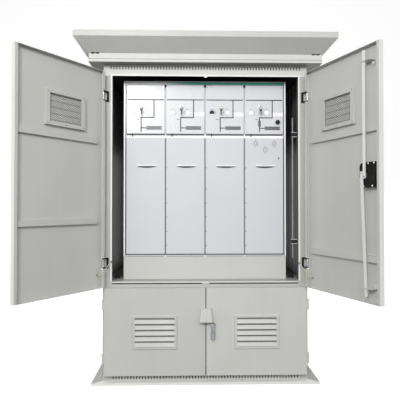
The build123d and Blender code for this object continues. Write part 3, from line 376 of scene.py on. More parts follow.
# steel that turns into the door's own paint beyond a reach from the hinge pins, where a reach is given
def zincSteel(name, look, reach=None):
    bench = Bench(name)
    given = {"Vector": bench.place, "Scale": look["spangle"]}
    spangle = bench.node("TexVoronoi", {"feature": "SMOOTH_F1"}, given)
    brush = bench.noise(*look["brush"])
    tone = bench.ease((spangle + brush) / 2, *look["fade"])
    colour, metal = bench.blend(tone, *look[name]), look["metal"]
    if reach:
        across, along = abs(bench.x) - hingePin["x"], bench.y - hingePin["y"]
        near = across * across + along * along < reach * reach
        colour, metal = bench.blend(near, enclosureLook["colour"], colour), near * metal
    return bench.coat(look, colour, tone, brush, Metallic=metal)


# a finish of two tones, patches of the second on the first, with any layers over both
def twoTone(name, look, **constants):
    bench = Bench(name)
    share = bench.ease(bench.noise(*look["patches"]), *look["fade"])
    grain = bench.noise(*look["grain"]) if "grain" in look else share
    colour = bench.layered(bench.blend(share, *look["tones"]), look.get("layers", []))
    return bench.coat(look, colour, share, grain, **constants)


# the lower hinges are painted over
blackLook = {
    "tones": ((0.006, 0.006, 0.0065), (0.030, 0.030, 0.030)),
    "patches": (70.0, 5.0), "fade": (0.52, 0.74), "grain": (900.0, 2.0),
    "rough": (0.55, 0.20), "dent": (0.15, 0.0004),
    "layers": [({"z": (-1.0, 0.70)}, enclosureLook["colour"])],
}
brassLook = {
    "tones": ((0.24, 0.21, 0.16), (0.05, 0.042, 0.034)),
    "patches": (130.0, 5.0), "fade": (0.4, 0.72), "grain": (300.0, 3.0, (1.0, 1.0, 0.1)),
    "rough": (0.26, 0.28), "dent": (0.12, 0.0003),
}
nickelLook = {**brassLook, "tones": ((0.86, 0.86, 0.84), (0.55, 0.54, 0.51))}
paleLook = {
    "tones": ((0.94, 0.94, 0.93), (0.88, 0.88, 0.86)),
    "patches": (6.0, 4.0), "fade": (0.35, 0.7), "grain": (800.0, 2.0),
    "rough": (0.45, 0.12), "dent": (0.08, 0.0003),
}
# the open shaft socket has a painted highlight across its lower part
darkLook = {
    "tones": ((0.014, 0.014, 0.016), (0.055, 0.055, 0.058)),
    "patches": (110.0, 5.0), "fade": (0.55, 0.8), "grain": (1100.0, 2.0),
    "rough": (0.50, 0.25), "dent": (0.12, 0.0003),
    "layers": [({"x": (0.036, 0.076), "y": (-1.0, -0.371), "z": (2.0385, 2.0475)}, paleLook["tones"][0])],
}
# the conduit's two saddles are black bands with painted highlights along their edges
saddles = {
    "wall": (0.70, 1.0), "heights": ((1.0145, 1.0545), (1.8923, 1.9323)), "edge": 0.006,
    "rimHighlight": (0.75, 0.75, 0.74),
}
ductLook = {**paleLook, "tones": ((0.46, 0.465, 0.45), (0.30, 0.30, 0.285)), "layers": []}
for low, high in saddles["heights"]:
    for inset, tone in ((0.0, saddles["rimHighlight"]), (saddles["edge"], darkLook["tones"][0])):
        ductLook["layers"].append(({"x": saddles["wall"], "z": (low + inset, high - inset)}, tone))
plateLook = {
    "tones": ((0.055, 0.057, 0.06), (0.13, 0.132, 0.135)),
    "patches": (40.0, 4.0, (0.08, 1.0, 14.0)), "fade": (0.4, 0.65), "grain": (40.0, 4.0, (0.08, 1.0, 14.0)),
    "rough": (0.34, 0.16), "dent": (0.08, 0.0002),
}
resinLook = {
    "tones": ((0.10, 0.030, 0.016), (0.17, 0.055, 0.030)),
    "patches": (30.0, 5.0), "fade": (0.35, 0.7),
    "rough": (0.16, 0.12), "dent": (0.05, 0.0004),
}
sheathLook = {
    "tones": ((0.58, 0.54, 0.36), (0.34, 0.29, 0.17)),
    "patches": (60.0, 5.0), "fade": (0.45, 0.75), "grain": (900.0, 2.0, (1.0, 1.0, 0.5)),
    "rough": (0.46, 0.2), "dent": (0.25, 0.0004),
}
# dull finishes: print, pale bands, cloth, felt, rubber and dark steel, fresh and faded
dullLook = {"patches": (90.0, 4.0), "fade": (0.42, 0.72), "rough": (0.65, 0.15), "dent": (0.04, 0.0002)}
dullTones = {
    "mimicInk": ((0.022, 0.023, 0.026), (0.060, 0.062, 0.068)),
    "symbolInk": ((0.22, 0.225, 0.23), (0.30, 0.305, 0.31)),
    "paleBandFinish": ((0.86, 0.86, 0.86), (0.78, 0.78, 0.78)),
    "meshGrey": ((0.16, 0.16, 0.155), (0.24, 0.24, 0.23)),
    "lowerCloth": ((0.19, 0.19, 0.185), (0.25, 0.25, 0.24)),
    "filterFelt": ((0.13, 0.13, 0.125), (0.20, 0.20, 0.19)),
    "sealRubber": ((0.22, 0.22, 0.215), (0.27, 0.27, 0.26)),
    "keySteel": ((0.07, 0.065, 0.055), (0.16, 0.15, 0.13)),
}
dull = {
    name: twoTone(name, {**dullLook, "tones": tones}, Specular_IOR_Level=0.15)
    for name, tones in dullTones.items()
}

paint = enclosurePaint("enclosurePaint")
hingeBlack = twoTone("hingeBlack", blackLook, Specular_IOR_Level=0.14)
zinc = zincSteel("zincSteel", zincLook)
leverZinc = zincSteel("leverZinc", zincLook)
brass = twoTone("brassFinish", brassLook, Metallic=0.9)
nickel = twoTone("nickelFinish", nickelLook, Metallic=0.35)
dark = twoTone("darkPlastic", darkLook, Specular_IOR_Level=0.2)
sheath = twoTone("leadSheath", sheathLook)


def both(tail):
    return [side + tail for side in sides]


def four(stem):
    return [stem + str(number) for number in (1, 2, 3, 4)]


finishes = [
    (paint, [
        "equipment_floor", "left_lower_door", "left_lower_louvre", "plinth_grille",
        "rear_panel", "roof_eaves", "roof_lid", "side_panels",
        *both("_upper_louvre"), *both("_padlock_hood"), *both("_upper_stiffeners"),
        *both("_lower_hinge_leaves"), *both("_upper_vent_screen"),
    ]),
    # copies of the enclosure paint: painted light on the right lower door, the skirt, the header and the
    # base, painted shade on the soffit, the posts and the mid rail; the lock rods take a paler paint
    (enclosurePaint("rightLowerPaint", 1.09), ["right_lower_door", "right_lower_louvre"]),
    (enclosurePaint("leftDoorPaint", leaf="left_upper_leaf"), ["left_upper_door"]),
    (enclosurePaint("rightDoorPaint", leaf="right_upper_leaf"), ["right_upper_door"]),
    (enclosurePaint("skirtPaint", 1.10, False), ["switchgear_skirt"]),
    (enclosurePaint("headerPaint", 1.20), ["header_rail"]),
    (enclosurePaint("basePaint", 1.52), ["base_frame"]),
    (enclosurePaint("shadePaint", 0.40), ["soffit_plate"]),
    (enclosurePaint("postPaint", 0.84), ["front_posts"]),
    (enclosurePaint("railPaint", 0.94), ["mid_rail"]),
    (enclosurePaint("brightPaint", 1.40), ["upper_lock_rod", "lower_lock_rod"]),
    (zincSteel("hingeZinc", zincLook, zincLook["hingeReach"]), both("_upper_hinge_leaves")),
    (switchgearPaint("switchgearPaint", switchgearLook), [
        "switchgear_housing", "mechanism_fascias", *four("cable_cover_"),
    ]),
    (stripFinish("greenStrip", stripLook), ["switchgear_top_strip"]),
    (hingeBlack, ["hinge_brackets", "lock_case"]),
    (zinc, ["lock_cam", "latch_tongue", "upper_handle_plate", "lower_handle_plate"]),
    (leverZinc, ["upper_lever", "lower_lever"]),
    (nickel, ["key_locks"]),
    (brass, four("key_")),
    (twoTone("palePlastic", paleLook), ["shaft_covers"]),
    (twoTone("greyDuct", ductLook), ["conduit"]),
    (dark, ["shaft_socket", "selector_knob"]),
    (twoTone("plateFinish", plateLook, Metallic=0.5), ["nameplates"]),
    (twoTone("bushingResin", resinLook, Coat_Weight=0.4), ["cable_bushings"]),
    (sheath, both("_earth_lead")),
]
for finish, names in finishes:
    for name in names:
        nodes[name].data.materials.clear()
        nodes[name].data.materials.append(finish)
print("kiosk: finishes on every node")


# Geometry Nodes trees: one fixes a head and its washer at each point, one draws tubes along edges
def newTree(name, **sizes):
    tree = bpy.data.node_groups.new(name, "GeometryNodeTree")
    for label, kind in {"Geometry": "Geometry", **sizes, "finish": "Material"}.items():
        tree.interface.new_socket(label, in_out="INPUT", socket_type="NodeSocket" + kind)
    tree.interface.new_socket("Geometry", in_out="OUTPUT", socket_type="NodeSocketGeometry")
    return tree, tree.nodes.new("NodeGroupInput").outputs


def treeNode(tree, kind, sockets, **settings):
    made = tree.nodes.new(kind if "Node" in kind else "GeometryNode" + kind)
    for key, value in settings.items():
        setattr(made, key, value)
    for key, value in sockets.items():
        for each in value if isinstance(value, list) else [value]:
            if isinstance(each, bpy.types.NodeSocket):
                tree.links.new(each, made.inputs[key])
            else:
                made.inputs[key].default_value = each
    return made.outputs[0] if made.outputs else None


def closeTree(tree, geometry, finish):
    real = treeNode(tree, "RealizeInstances", {"Geometry": geometry})
    coated = treeNode(tree, "SetMaterial", {"Geometry": real, "Material": finish})
    treeNode(tree, "NodeGroupOutput", {0: coated})
    return tree


# a head's size is its radius, height, sides and washer's radius
headInputs = {"headRadius": "Float", "headHeight": "Float", "headSides": "Int", "washerRadius": "Float"}
headShape = {"washerSides": 16, "washerShare": 0.3, "crownShare": 0.7, "topShare": 0.78}


def fixingTree(shape):
    tree, given = newTree("fixingHeads", **headInputs)

    def times(socket, share):
        return treeNode(tree, "ShaderNodeMath", {0: socket, 1: share}, operation="MULTIPLY")

    washerTop = times(given["headHeight"], shape["washerShare"])
    washer = treeNode(tree, "MeshCone", {
        "Vertices": shape["washerSides"], "Depth": washerTop,
        "Radius Bottom": given["washerRadius"], "Radius Top": given["washerRadius"],
    })
    head = treeNode(tree, "MeshCone", {
        "Vertices": given["headSides"], "Depth": times(given["headHeight"], shape["crownShare"]),
        "Radius Bottom": given["headRadius"], "Radius Top": times(given["headRadius"], shape["topShare"]),
    })
    lift = treeNode(tree, "ShaderNodeCombineXYZ", {"Z": washerTop})
    raised = treeNode(tree, "Transform", {"Geometry": head, "Translation": lift})
    joined = treeNode(tree, "JoinGeometry", {0: [washer, raised]})
    facing = treeNode(tree, "InputNamedAttribute", {"Name": "facing"}, data_type="FLOAT_VECTOR")
    turn = treeNode(tree, "FunctionNodeAlignRotationToVector", {"Vector": facing}, axis="Z")
    spread = treeNode(tree, "InstanceOnPoints", {
        "Points": given["Geometry"], "Instance": joined, "Rotation": turn,
    })
    return closeTree(tree, spread, given["finish"])


def tubeTree():
    tree, given = newTree("tubesOnEdges", tubeRadius="Float", tubeSides="Int")
    line = treeNode(tree, "MeshToCurve", {"Mesh": given["Geometry"]})
    ring = treeNode(tree, "CurvePrimitiveCircle", {
        "Resolution": given["tubeSides"], "Radius": given["tubeRadius"],
    })
    tube = treeNode(tree, "CurveToMesh", {"Curve": line, "Profile Curve": ring, "Fill Caps": True})
    return closeTree(tree, tube, given["finish"])


fixings = fixingTree(headShape)
tubes = tubeTree()


def evaluated(thing):
    bpy.context.view_layer.update()
    live = thing.evaluated_get(bpy.context.evaluated_depsgraph_get())
    return bpy.data.meshes.new_from_object(live)


def grown(name, seedMesh, tree, values):
    seed = linkNew(name + "Seed", seedMesh)
    modifier = seed.modifiers.new("grow", "NODES")
    modifier.node_group = tree
    for item in tree.interface.items_tree:
        if item.in_out == "INPUT" and item.name in values:
            modifier[item.identifier] = values[item.name]
    mesh = evaluated(seed)
    seed.modifiers.remove(modifier)
    bpy.data.objects.remove(seed)
    mesh.name = name
    return linkNew(name, mesh)


def fitted(made, body):
    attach(made, body)
    return made


# heads at a depth, each spot across and up, turned inward on a leaf and to the front elsewhere
def fixingHeads(name, spots, depth, size, finish, body):
    place, facing = Matrix.Identity(4), (0, -1, 0)
    if body in hung:
        place = doorFrame(body)
        facing = inwardOf(place)
    seedMesh = bpy.data.meshes.new(name + "Points")
    seedMesh.from_pydata([place @ Vector((across, depth, up)) for across, up in spots], [], [])
    for each in seedMesh.attributes.new("facing", "FLOAT_VECTOR", "POINT").data:
        each.vector = facing
    values = {**dict(zip(headInputs, size)), "finish": finish}
    return fitted(grown(name, seedMesh, fixings, values), body)


# earth leads between the frame studs and the door studs
earthLeads = {
    "diameter": 0.005, "sides": 14, "order": 3, "resolution": 8,
    "left": [
        (-0.7095, -0.5124, 0.906), (-0.7095, -0.5324, 0.906), (-0.73, -0.5663, 0.8729),
        (-0.7518, -0.5843, 0.8451), (-0.7778, -0.5888, 0.819), (-0.7884, -0.5812, 0.819),
    ],
    "right": [
        (0.7095, -0.5124, 0.891), (0.7095, -0.5324, 0.891), (0.7266, -0.5687, 0.8552),
        (0.7448, -0.5893, 0.8245), (0.7664, -0.5967, 0.795), (0.7785, -0.592, 0.795),
    ],
}


def hangLead(side):
    route = earthLeads[side]
    curve = bpy.data.curves.new(side + "LeadLine", "CURVE")
    curve.dimensions = "3D"
    spline = curve.splines.new("NURBS")
    spline.points.add(len(route) - 1)
    for spot, point in zip(spline.points, route):
        spot.co = (*point, 1.0)
    spline.order_u = earthLeads["order"]
    spline.use_endpoint_u = True
    spline.resolution_u = earthLeads["resolution"]
    holder = linkNew(side + "LeadLine", curve)
    line = evaluated(holder)
    bpy.data.objects.remove(holder)
    values = {"tubeRadius": earthLeads["diameter"] / 2, "tubeSides": earthLeads["sides"], "finish": sheath}
    tube = grown(side + "EarthLead", line, tubes, values)
    tube.data.shade_smooth()
    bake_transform(tube)
    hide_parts(side + "_earth_lead")


for side in sides:
    hangLead(side)


# mesh helpers for the small pieces
def boxInto(bm, low, high):
    centre = (Vector(low) + Vector(high)) / 2
    size = Vector(high) - Vector(low)
    bmesh.ops.create_cube(bm, size=1.0, matrix=Matrix.Translation(centre) @ Matrix.Diagonal((*size, 1.0)))


# a skin over rings of points, where a ring of one point is a tip
def loftInto(bm, rings, looped=False, capped=False):
    made = [[bm.verts.new(point) for point in ring] for ring in rings]
    joints = list(zip(made, made[1:] + made[:1]))
    for low, high in joints if looped else joints[:-1]:
        count = max(len(low), len(high))
        for k in range(count):
            m = (k + 1) % count
            corners = (low[k % len(low)], low[m % len(low)], high[m % len(high)], high[k % len(high)])
            kept = list(dict.fromkeys(corners))
            if len(kept) > 2:
                bm.faces.new(kept)
    if capped:
        bm.faces.new(made[0])
        bm.faces.new(made[-1])


def upright(outline, y):
    return [(x, y, z) for x, z in outline]


def prismInto(bm, outline, back, face):
    loftInto(bm, [upright(outline, back), upright(outline, face)], capped=True)


def frameInto(bm, outer, inner, back, face):
    rings = ((outer, back), (outer, face), (inner, face), (inner, back))
    loftInto(bm, [upright(outline, y) for outline, y in rings], looped=True)


def turnsOf(count):
    return [2 * math.pi * k / count for k in range(count)]


def turnedInto(bm, profile, count, matrix, looped=False):
    rings = []
    for radius, height in profile:
        turns = turnsOf(count) if radius else [0.0]
        rings.append([matrix @ Vector((radius * math.cos(a), radius * math.sin(a), height)) for a in turns])
    loftInto(bm, rings, looped)


def scaled(profile, radius):
    return [(share * radius, height) for share, height in profile]


def rectangle(cx, cz, width, tall):
    return [(cx + i * width / 2, cz + j * tall / 2) for i, j in ((-1, -1), (1, -1), (1, 1), (-1, 1))]


def circle(cx, cz, radius, count):
    return [(cx + radius * math.cos(a), cz + radius * math.sin(a)) for a in turnsOf(count)]


edgeRounding = {"sharpAngle": 0.5, "segments": 2}


def pieceFrom(bm, name, finish, body, matrix=None, bevel=0.0, smooth=False):
    if matrix is not None:
        bm.transform(matrix)
    bmesh.ops.recalc_face_normals(bm, faces=bm.faces)
    if bevel:
        pairs = [edge for edge in bm.edges if len(edge.link_faces) == 2]
        sharp = [edge for edge in pairs if edge.calc_face_angle() > edgeRounding["sharpAngle"]]
        segments = edgeRounding["segments"]
        bmesh.ops.bevel(bm, geom=sharp, offset=bevel, segments=segments, profile=0.5, affect="EDGES")
        bmesh.ops.recalc_face_normals(bm, faces=bm.faces)
    mesh = bpy.data.meshes.new(name)
    bm.to_mesh(mesh)
    bm.free()
    if smooth:
        mesh.shade_smooth()
    mesh.materials.append(finish)
    return fitted(linkNew(name, mesh), body)


# fine diamond mesh in its frame behind each upper vent
ventScreen = {
    "across": 0.355, "height": 1.978,
    "outer": (0.337, 0.238), "open": (0.270, 0.186),
    "back": -0.004, "face": 0.016, "round": 0.0015,
    "weave": 0.007, "weaveShare": 0.7,
    "cell": (0.0220, 0.0145), "strand": 0.0013, "strandSides": 5,
    "tuck": 0.003, "shortest": 0.004,
    "screwsAcross": (-0.152, 0.0, 0.152), "screwsUp": (-0.106, 0.106),
    "screw": (0.0042, 0.0024, 12, 0.0056),
}

# pleated filter cloth between the louvre and its mesh, with painted shade in its creases
ventFilter = {
    "back": -0.0038, "face": -0.0012, "deep": 0.0022,
    "overlap": 0.0015, "pitch": 0.0425, "groove": 0.009, "top": 2.0700,
    "cloth": (0.86, 0.86, 0.83), "creaseShade": (0.45, 0.45, 0.43), "creaseShare": 0.75,
    "soil": (25.0, 4.0), "soilFade": (0.35, 0.7), "soilTone": (0.8, 0.79, 0.76), "soilShare": 0.25,
    "weave": (700.0, 2.0), "rough": (0.8, 0.1), "dent": (0.3, 0.0005),
}


def filterCloth(name, size):
    bench = Bench(name)
    fall = ((size["top"] - bench.z) / size["pitch"]).maths("FRACT") * size["pitch"]
    soil = bench.ease(bench.noise(*size["soil"]), *size["soilFade"])
    fromCrease = abs(fall - size["groove"] / 2)
    groove = 1 - bench.ease(fromCrease, 0.0, size["groove"] * size["creaseShare"])
    colour = bench.blend(groove, size["cloth"], size["creaseShade"])
    colour = bench.blend(soil * size["soilShare"], colour, size["soilTone"], "MULTIPLY")
    return bench.coat(size, colour, soil, bench.noise(*size["weave"]))


ventCloth = filterCloth("ventCloth", ventFilter)


def pleatsInto(bm, vent, size):
    wide, tall = (length / 2 + size["overlap"] for length in vent["open"])
    low, high = vent["height"] - tall, vent["height"] + tall
    rows = [(high, size["face"])]
    level = size["top"]
    while level > low:
        for drop, depth in ((0.0, 0.0), (size["groove"] / 2, size["deep"]), (size["groove"], 0.0)):
            if low < level - drop < high:
                rows.append((level - drop, size["face"] - depth))
        level -= size["pitch"]
    rows.append((low, size["face"]))
    left, right, back = vent["across"] - wide, vent["across"] + wide, size["back"]
    loftInto(bm, [
        [(left, y, z), (right, y, z), (right, back, z), (left, back, z)] for z, y in rows
    ], capped=True)


def meshLines(size):
    wide, tall = (length / 2 + size["tuck"] for length in size["open"])
    cellWide, cellTall = size["cell"]
    rise = cellTall / cellWide
    reach = int((tall + rise * wide) / cellTall) + 1
    points = []
    for lean in (1, -1):
        slope, depth = lean * rise, size["weave"] + lean * size["strand"] * size["weaveShare"]
        for k in range(-reach, reach + 1):
            offset = k * cellTall
            cuts = sorted((end - offset) / slope for end in (-tall, tall))
            ends = (max(-wide, cuts[0]), min(wide, cuts[1]))
            if ends[1] - ends[0] >= size["shortest"]:
                points += [(size["across"] + x, depth, size["height"] + offset + slope * x) for x in ends]
    return points, [(k, k + 1) for k in range(0, len(points), 2)]


def ventScreens(size):
    middle = (size["across"], size["height"])
    for side in sides:
        leaf = side + "_upper_leaf"
        place = doorFrame(leaf)
        bm = bmesh.new()
        outer, inner = rectangle(*middle, *size["outer"]), rectangle(*middle, *size["open"])
        frameInto(bm, outer, inner, size["back"], size["face"])
        border = pieceFrom(bm, side + "VentFrame", paint, leaf, place, size["round"])
        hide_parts(side + "_upper_vent_screen")
        bm = bmesh.new()
        pleatsInto(bm, size, ventFilter)
        pieceFrom(bm, side + "VentFilter", ventCloth, leaf, place)
        points, edges = meshLines(size)
        seedMesh = bpy.data.meshes.new(side + "VentLines")
        seedMesh.from_pydata([place @ Vector(point) for point in points], edges, [])
        values = {"tubeRadius": size["strand"], "tubeSides": size["strandSides"], "finish": dull["meshGrey"]}
        fitted(grown(side + "VentMesh", seedMesh, tubes, values), leaf)
        screws = [(middle[0] + u, middle[1] + z) for u in size["screwsAcross"] for z in size["screwsUp"]]
        fixingHeads(side + "VentScrews", screws, size["face"], size["screw"], zinc, leaf)
    print("kiosk: vent screens")


ventScreens(ventScreen)


# filter sheet and its clamping frame behind each lower vent, and a seal on each meeting edge
lowerVent = {
    "sheet": (0.302, 0.222), "skin": -0.5380, "back": -0.5352, "sheetRound": 0.0006,
    "frame": (0.318, 0.238), "window": (0.284, 0.204), "seatGap": 0.0002, "frameBack": -0.5320,
    "frameRound": 0.0008,
}
meetingSeal = {"low": (0.7596, -0.0032, 0.070), "high": (0.7644, 0.0200, 0.710), "round": 0.0008}


def lowerVents(size, seal):
    for side in sides:
        leaf = side + "_lower_leaf"
        low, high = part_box(side + "_lower_louvre")
        middle = ((low[0] + high[0]) / 2, (low[2] + high[2]) / 2)
        bm = bmesh.new()
        prismInto(bm, rectangle(*middle, *size["sheet"]), size["skin"], size["back"])
        cloth = dull["lowerCloth"]
        pieceFrom(bm, side + "LowerFilter", cloth, leaf, None, size["sheetRound"])
        bm = bmesh.new()
        outer, inner = rectangle(*middle, *size["frame"]), rectangle(*middle, *size["window"])
        frameInto(bm, outer, inner, size["back"] + size["seatGap"], size["frameBack"])
        pieceFrom(bm, side + "LowerFilterFrame", paint, leaf, None, size["frameRound"])
        bm = bmesh.new()
        boxInto(bm, seal["low"], seal["high"])
        place, rubber = doorFrame(leaf), dull["sealRubber"]
        pieceFrom(bm, side + "MeetingSeal", rubber, leaf, place, seal["round"])
    print("kiosk: lower filters and meeting seals")


lowerVents(lowerVent, meetingSeal)


# plain strips with rounded edges: a dark strip standing in for the shade under the sill's rain lip, open at
# the keeper, felt behind the vent slots of the header, stops at the tops of the module gaps, clips that hold
# the cable covers
moduleCentres = (-0.465, -0.155, 0.155, 0.465)
strips = {
    "sillShadeStrip": {
        "finish": dark, "slot": "dark_plastic", "round": 0.0008, "at": (0.0,),
        "bars": [
            ((-0.7025, -0.027), (-0.5028, -0.4998), (0.7385, 0.7468)),
            ((0.027, 0.7025), (-0.5028, -0.4998), (0.7385, 0.7468)),
        ],
    },
    "filterStrip": {
        "finish": dull["filterFelt"], "slot": "pale_plastic", "round": 0.0008, "at": (0.0,),
        "bars": [((-0.745, 0.745), (-0.4974, -0.4935), (2.350, 2.3872))],
    },
    "gapStops": {
        "finish": dark, "slot": "dark_plastic", "round": 0.0006, "at": (-0.310, 0.0, 0.310),
        "bars": [((-0.0085, 0.0085), (-0.3716, -0.3595), (2.2570, 2.2755))],
    },
    "coverClips": {
        "finish": dark, "slot": "dark_plastic", "round": 0.0004, "at": moduleCentres,
        "bars": [
            ((-0.1072, -0.1008), (-0.3722, -0.3698), (1.8905, 1.8932)),
            ((-0.1072, -0.1008), (-0.3722, -0.3704), (1.8665, 1.8915)),
        ],
    },
}


def stripPiece(name, size):
    bm = bmesh.new()
    for x in size["at"]:
        for across, depth, height in size["bars"]:
            boxInto(bm, *zip([x + end for end in across], depth, height))
    pieceFrom(bm, name, size["finish"], "cabinet", bevel=size["round"])
    print("kiosk:", name)


for name, size in strips.items():
    stripPiece(name, size)


# the switchgear's front plane and the depth of the print on it
gearFront = {"face": -0.370, "sunk": 0.0002, "thick": 0.0004}
printSpan = (gearFront["face"] + gearFront["sunk"], gearFront["face"] - gearFront["thick"])

# printed lines and pale bands on the mechanism fascias
fasciaPrint = {
    "line": 0.0072,
    "busHeight": 2.158, "busHalf": 0.140,
    "dropAt": 0.065, "dropFoot": 2.019,
    "stepAt": -0.036, "stepFoot": 1.911,
    "plateLine": 1.937, "plateTo": 0.004,
    "band": (0.067, 0.150, 2.030, 2.061),
    "arrow": (-0.072, -0.056, 2.005), "arrowHalf": 0.0065, "shankHalf": 0.0015, "shankGap": 0.001,
    "fuse": (-0.036, 1.9725), "fuseSize": (0.022, 0.043), "fuseWall": 0.009, "fuseLift": 0.0001,
    "shafts": (-0.101, 0.020), "shaftHeight": 2.057,
    "arcRadius": 0.029, "arcLine": 0.0030, "arcHalf": 32, "arcSteps": 12,
}


def arcInto(bm, cx, cz, middle, size):
    start, steps, rings = middle - size["arcHalf"], size["arcSteps"], []
    outer, inner = size["arcRadius"], size["arcRadius"] - size["arcLine"]
    back, face = printSpan
    for k in range(steps + 1):
        a = math.radians(start + 2 * size["arcHalf"] * k / steps)
        corners = ((outer, back), (outer, face), (inner, face), (inner, back))
        rings.append([(cx + r * math.cos(a), y, cz + r * math.sin(a)) for r, y in corners])
    loftInto(bm, rings, capped=True)


def fasciaMarks(size):
    (back, face), line = printSpan, size["line"]
    half = line / 2
    lines, bands, symbols = bmesh.new(), bmesh.new(), bmesh.new()

    def run(x0, z0, x1, z1):
        low = (min(x0, x1) - half, face, min(z0, z1) - half)
        boxInto(lines, low, (max(x0, x1) + half, back, max(z0, z1) + half))

    for number, centre in enumerate(moduleCentres, 1):
        bus, foot, level = size["busHeight"], size["dropFoot"], size["plateLine"]
        drop, step = centre + size["dropAt"], centre + size["stepAt"]
        run(centre - size["busHalf"], bus, centre + size["busHalf"], bus)
        run(drop, bus - line, drop, foot + line)
        run(step, foot, drop, foot)
        run(step, foot - line, step, size["stepFoot"])
        run(step + line, level, centre + size["plateTo"], level)
        tip, tail, level = size["arrow"]
        tip, tail, wing, thin = centre + tip, centre + tail, size["arrowHalf"], size["shankHalf"]
        prismInto(symbols, [(tip, level), (tail, level - wing), (tail, level + wing)], back, face)
        boxInto(symbols, (tail, face, level - thin), (step - half - size["shankGap"], back, level + thin))
        for x, inside in zip(size["shafts"], (0, 180)):
            for middle in (90, inside):
                arcInto(symbols, centre + x, size["shaftHeight"], middle, size)
        if number > 1:
            x0, x1, z0, z1 = size["band"]
            boxInto(bands, (centre + x0, face, z0), (centre + x1, back, z1))
    at, level = moduleCentres[3] + size["fuse"][0], size["fuse"][1]
    outer = rectangle(at, level, *size["fuseSize"])
    inner = rectangle(at, level, *(length - size["fuseWall"] for length in size["fuseSize"]))
    frameInto(lines, outer, inner, back, face - size["fuseLift"])
    pieceFrom(symbols, "positionArcs", dull["symbolInk"], "cabinet")
    pieceFrom(lines, "mimicLines", dull["mimicInk"], "cabinet")
    pieceFrom(bands, "paleBands", dull["paleBandFinish"], "cabinet")
    print("kiosk: fascia marks")


fasciaMarks(fasciaPrint)


# faint outlines and a dot on the fourth cable cover
coverPrint = {
    "hexes": ((-0.066, 1.816), (0.079, 1.816), (0.009, 1.767)),
    "hexHalf": (0.017, 0.025), "line": 0.0034, "rings": ((0.0, 1.0), (2.4, 3.2)),
    "spikeGap": 0.0005, "spike": 0.006, "spikeHalf": 0.0015,
    "dot": (0.115, 1.700), "dotRadius": 0.006, "dotSides": 18,
    "dotProfile": [(0, -0.0002), (1, -0.0002), (1, 0.0012), (0.7, 0.002), (0, 0.002)],
}


def hexagon(cx, cz, wide, tall):
    corners = ((0, 1), (1, 0.5), (1, -0.5), (0, -1), (-1, -0.5), (-1, 0.5))
    return [(cx + wide * i, cz + tall * j) for i, j in corners]


def coverMarks(size):
    bm, dot = bmesh.new(), bmesh.new()
    (back, face), thin = printSpan, size["spikeHalf"]
    near = size["hexHalf"][1] + size["spikeGap"]
    far = near + size["spike"]
    for dx, cz in size["hexes"]:
        cx = moduleCentres[3] + dx
        for ring in size["rings"]:
            halves = [[half - size["line"] * share for half in size["hexHalf"]] for share in ring]
            frameInto(bm, *(hexagon(cx, cz, *half) for half in halves), back, face)
        for low, high in ((cz - far, cz - near), (cz + near, cz + far)):
            boxInto(bm, (cx - thin, face, low), (cx + thin, back, high))
    x, z = size["dot"]
    place = Matrix.Translation((moduleCentres[3] + x, gearFront["face"], z))
    place = place @ Matrix.Rotation(math.radians(90), 4, "X")
    turnedInto(dot, scaled(size["dotProfile"], size["dotRadius"]), size["dotSides"], place)
    pieceFrom(bm, "coverSymbols", dull["symbolInk"], "lifting_cover_4")
    pieceFrom(dot, "coverDot", dark, "lifting_cover_4")
    print("kiosk: cover marks")


coverMarks(coverPrint)


# heads of screws and rivets on the switchgear
gearHeads = {
    "fasciaAcross": (-0.139, 0.139), "fasciaHeights": (1.903, 2.256),
    "fascia": (0.0040, 0.0020, 12, 0.0048),
    "edgeAcross": -0.1455, "edgeHeights": (1.624, 1.458, 1.348, 1.238, 1.127, 1.017),
    "edge": (0.0036, 0.0016, 10, 0.0046),
    "plateAt": 0.065, "plateEnds": (-0.055, 0.055), "plateFace": -0.372, "plateHeight": 1.937,
    "rivet": (0.0022, 0.0010, 10, 0.0028),
}


def gearFixings(size):
    face, columns = gearFront["face"], [c + dx for c in moduleCentres for dx in size["fasciaAcross"]]
    screws = [(x, z) for x in columns for z in size["fasciaHeights"]]
    fixingHeads("fasciaScrews", screws, face, size["fascia"], zinc, "cabinet")
    for number in ("2", "3", "4"):
        x, body = moduleCentres[int(number) - 1] + size["edgeAcross"], "lifting_cover_" + number
        spots = [(x, z) for z in size["edgeHeights"]]
        fixingHeads("coverRivets" + number, spots, face, size["edge"], leverZinc, body)
    ends = [c + size["plateAt"] + dx for c in moduleCentres for dx in size["plateEnds"]]
    rivets = [(x, size["plateHeight"]) for x in ends]
    fixingHeads("plateRivets", rivets, size["plateFace"], size["rivet"], zinc, "cabinet")
    print("kiosk: switchgear fixings")


gearFixings(gearHeads)


# a split ring and a spare key on each interlock key
keyRing = {
    "across": -0.030, "depth": -0.409, "keyHole": 2.104, "turn": 24,
    "radius": 0.0125, "wire": 0.0012, "around": 28, "wireSides": 10,
    "plate": 0.001, "bow": 0.0105, "bowDrop": 0.0075, "hole": 0.0035, "holeDrop": 0.0015, "bowSides": 18,
    "overlap": 0.0012, "round": 0.0002,
    "shank": [
        (-0.0032, 0.0), (-0.0032, -0.030), (0.0, -0.034), (0.0032, -0.030), (0.0032, -0.024),
        (0.0055, -0.022), (0.0055, -0.018), (0.0032, -0.016), (0.0055, -0.012), (0.0032, -0.008),
        (0.0032, 0.0),
    ],
}


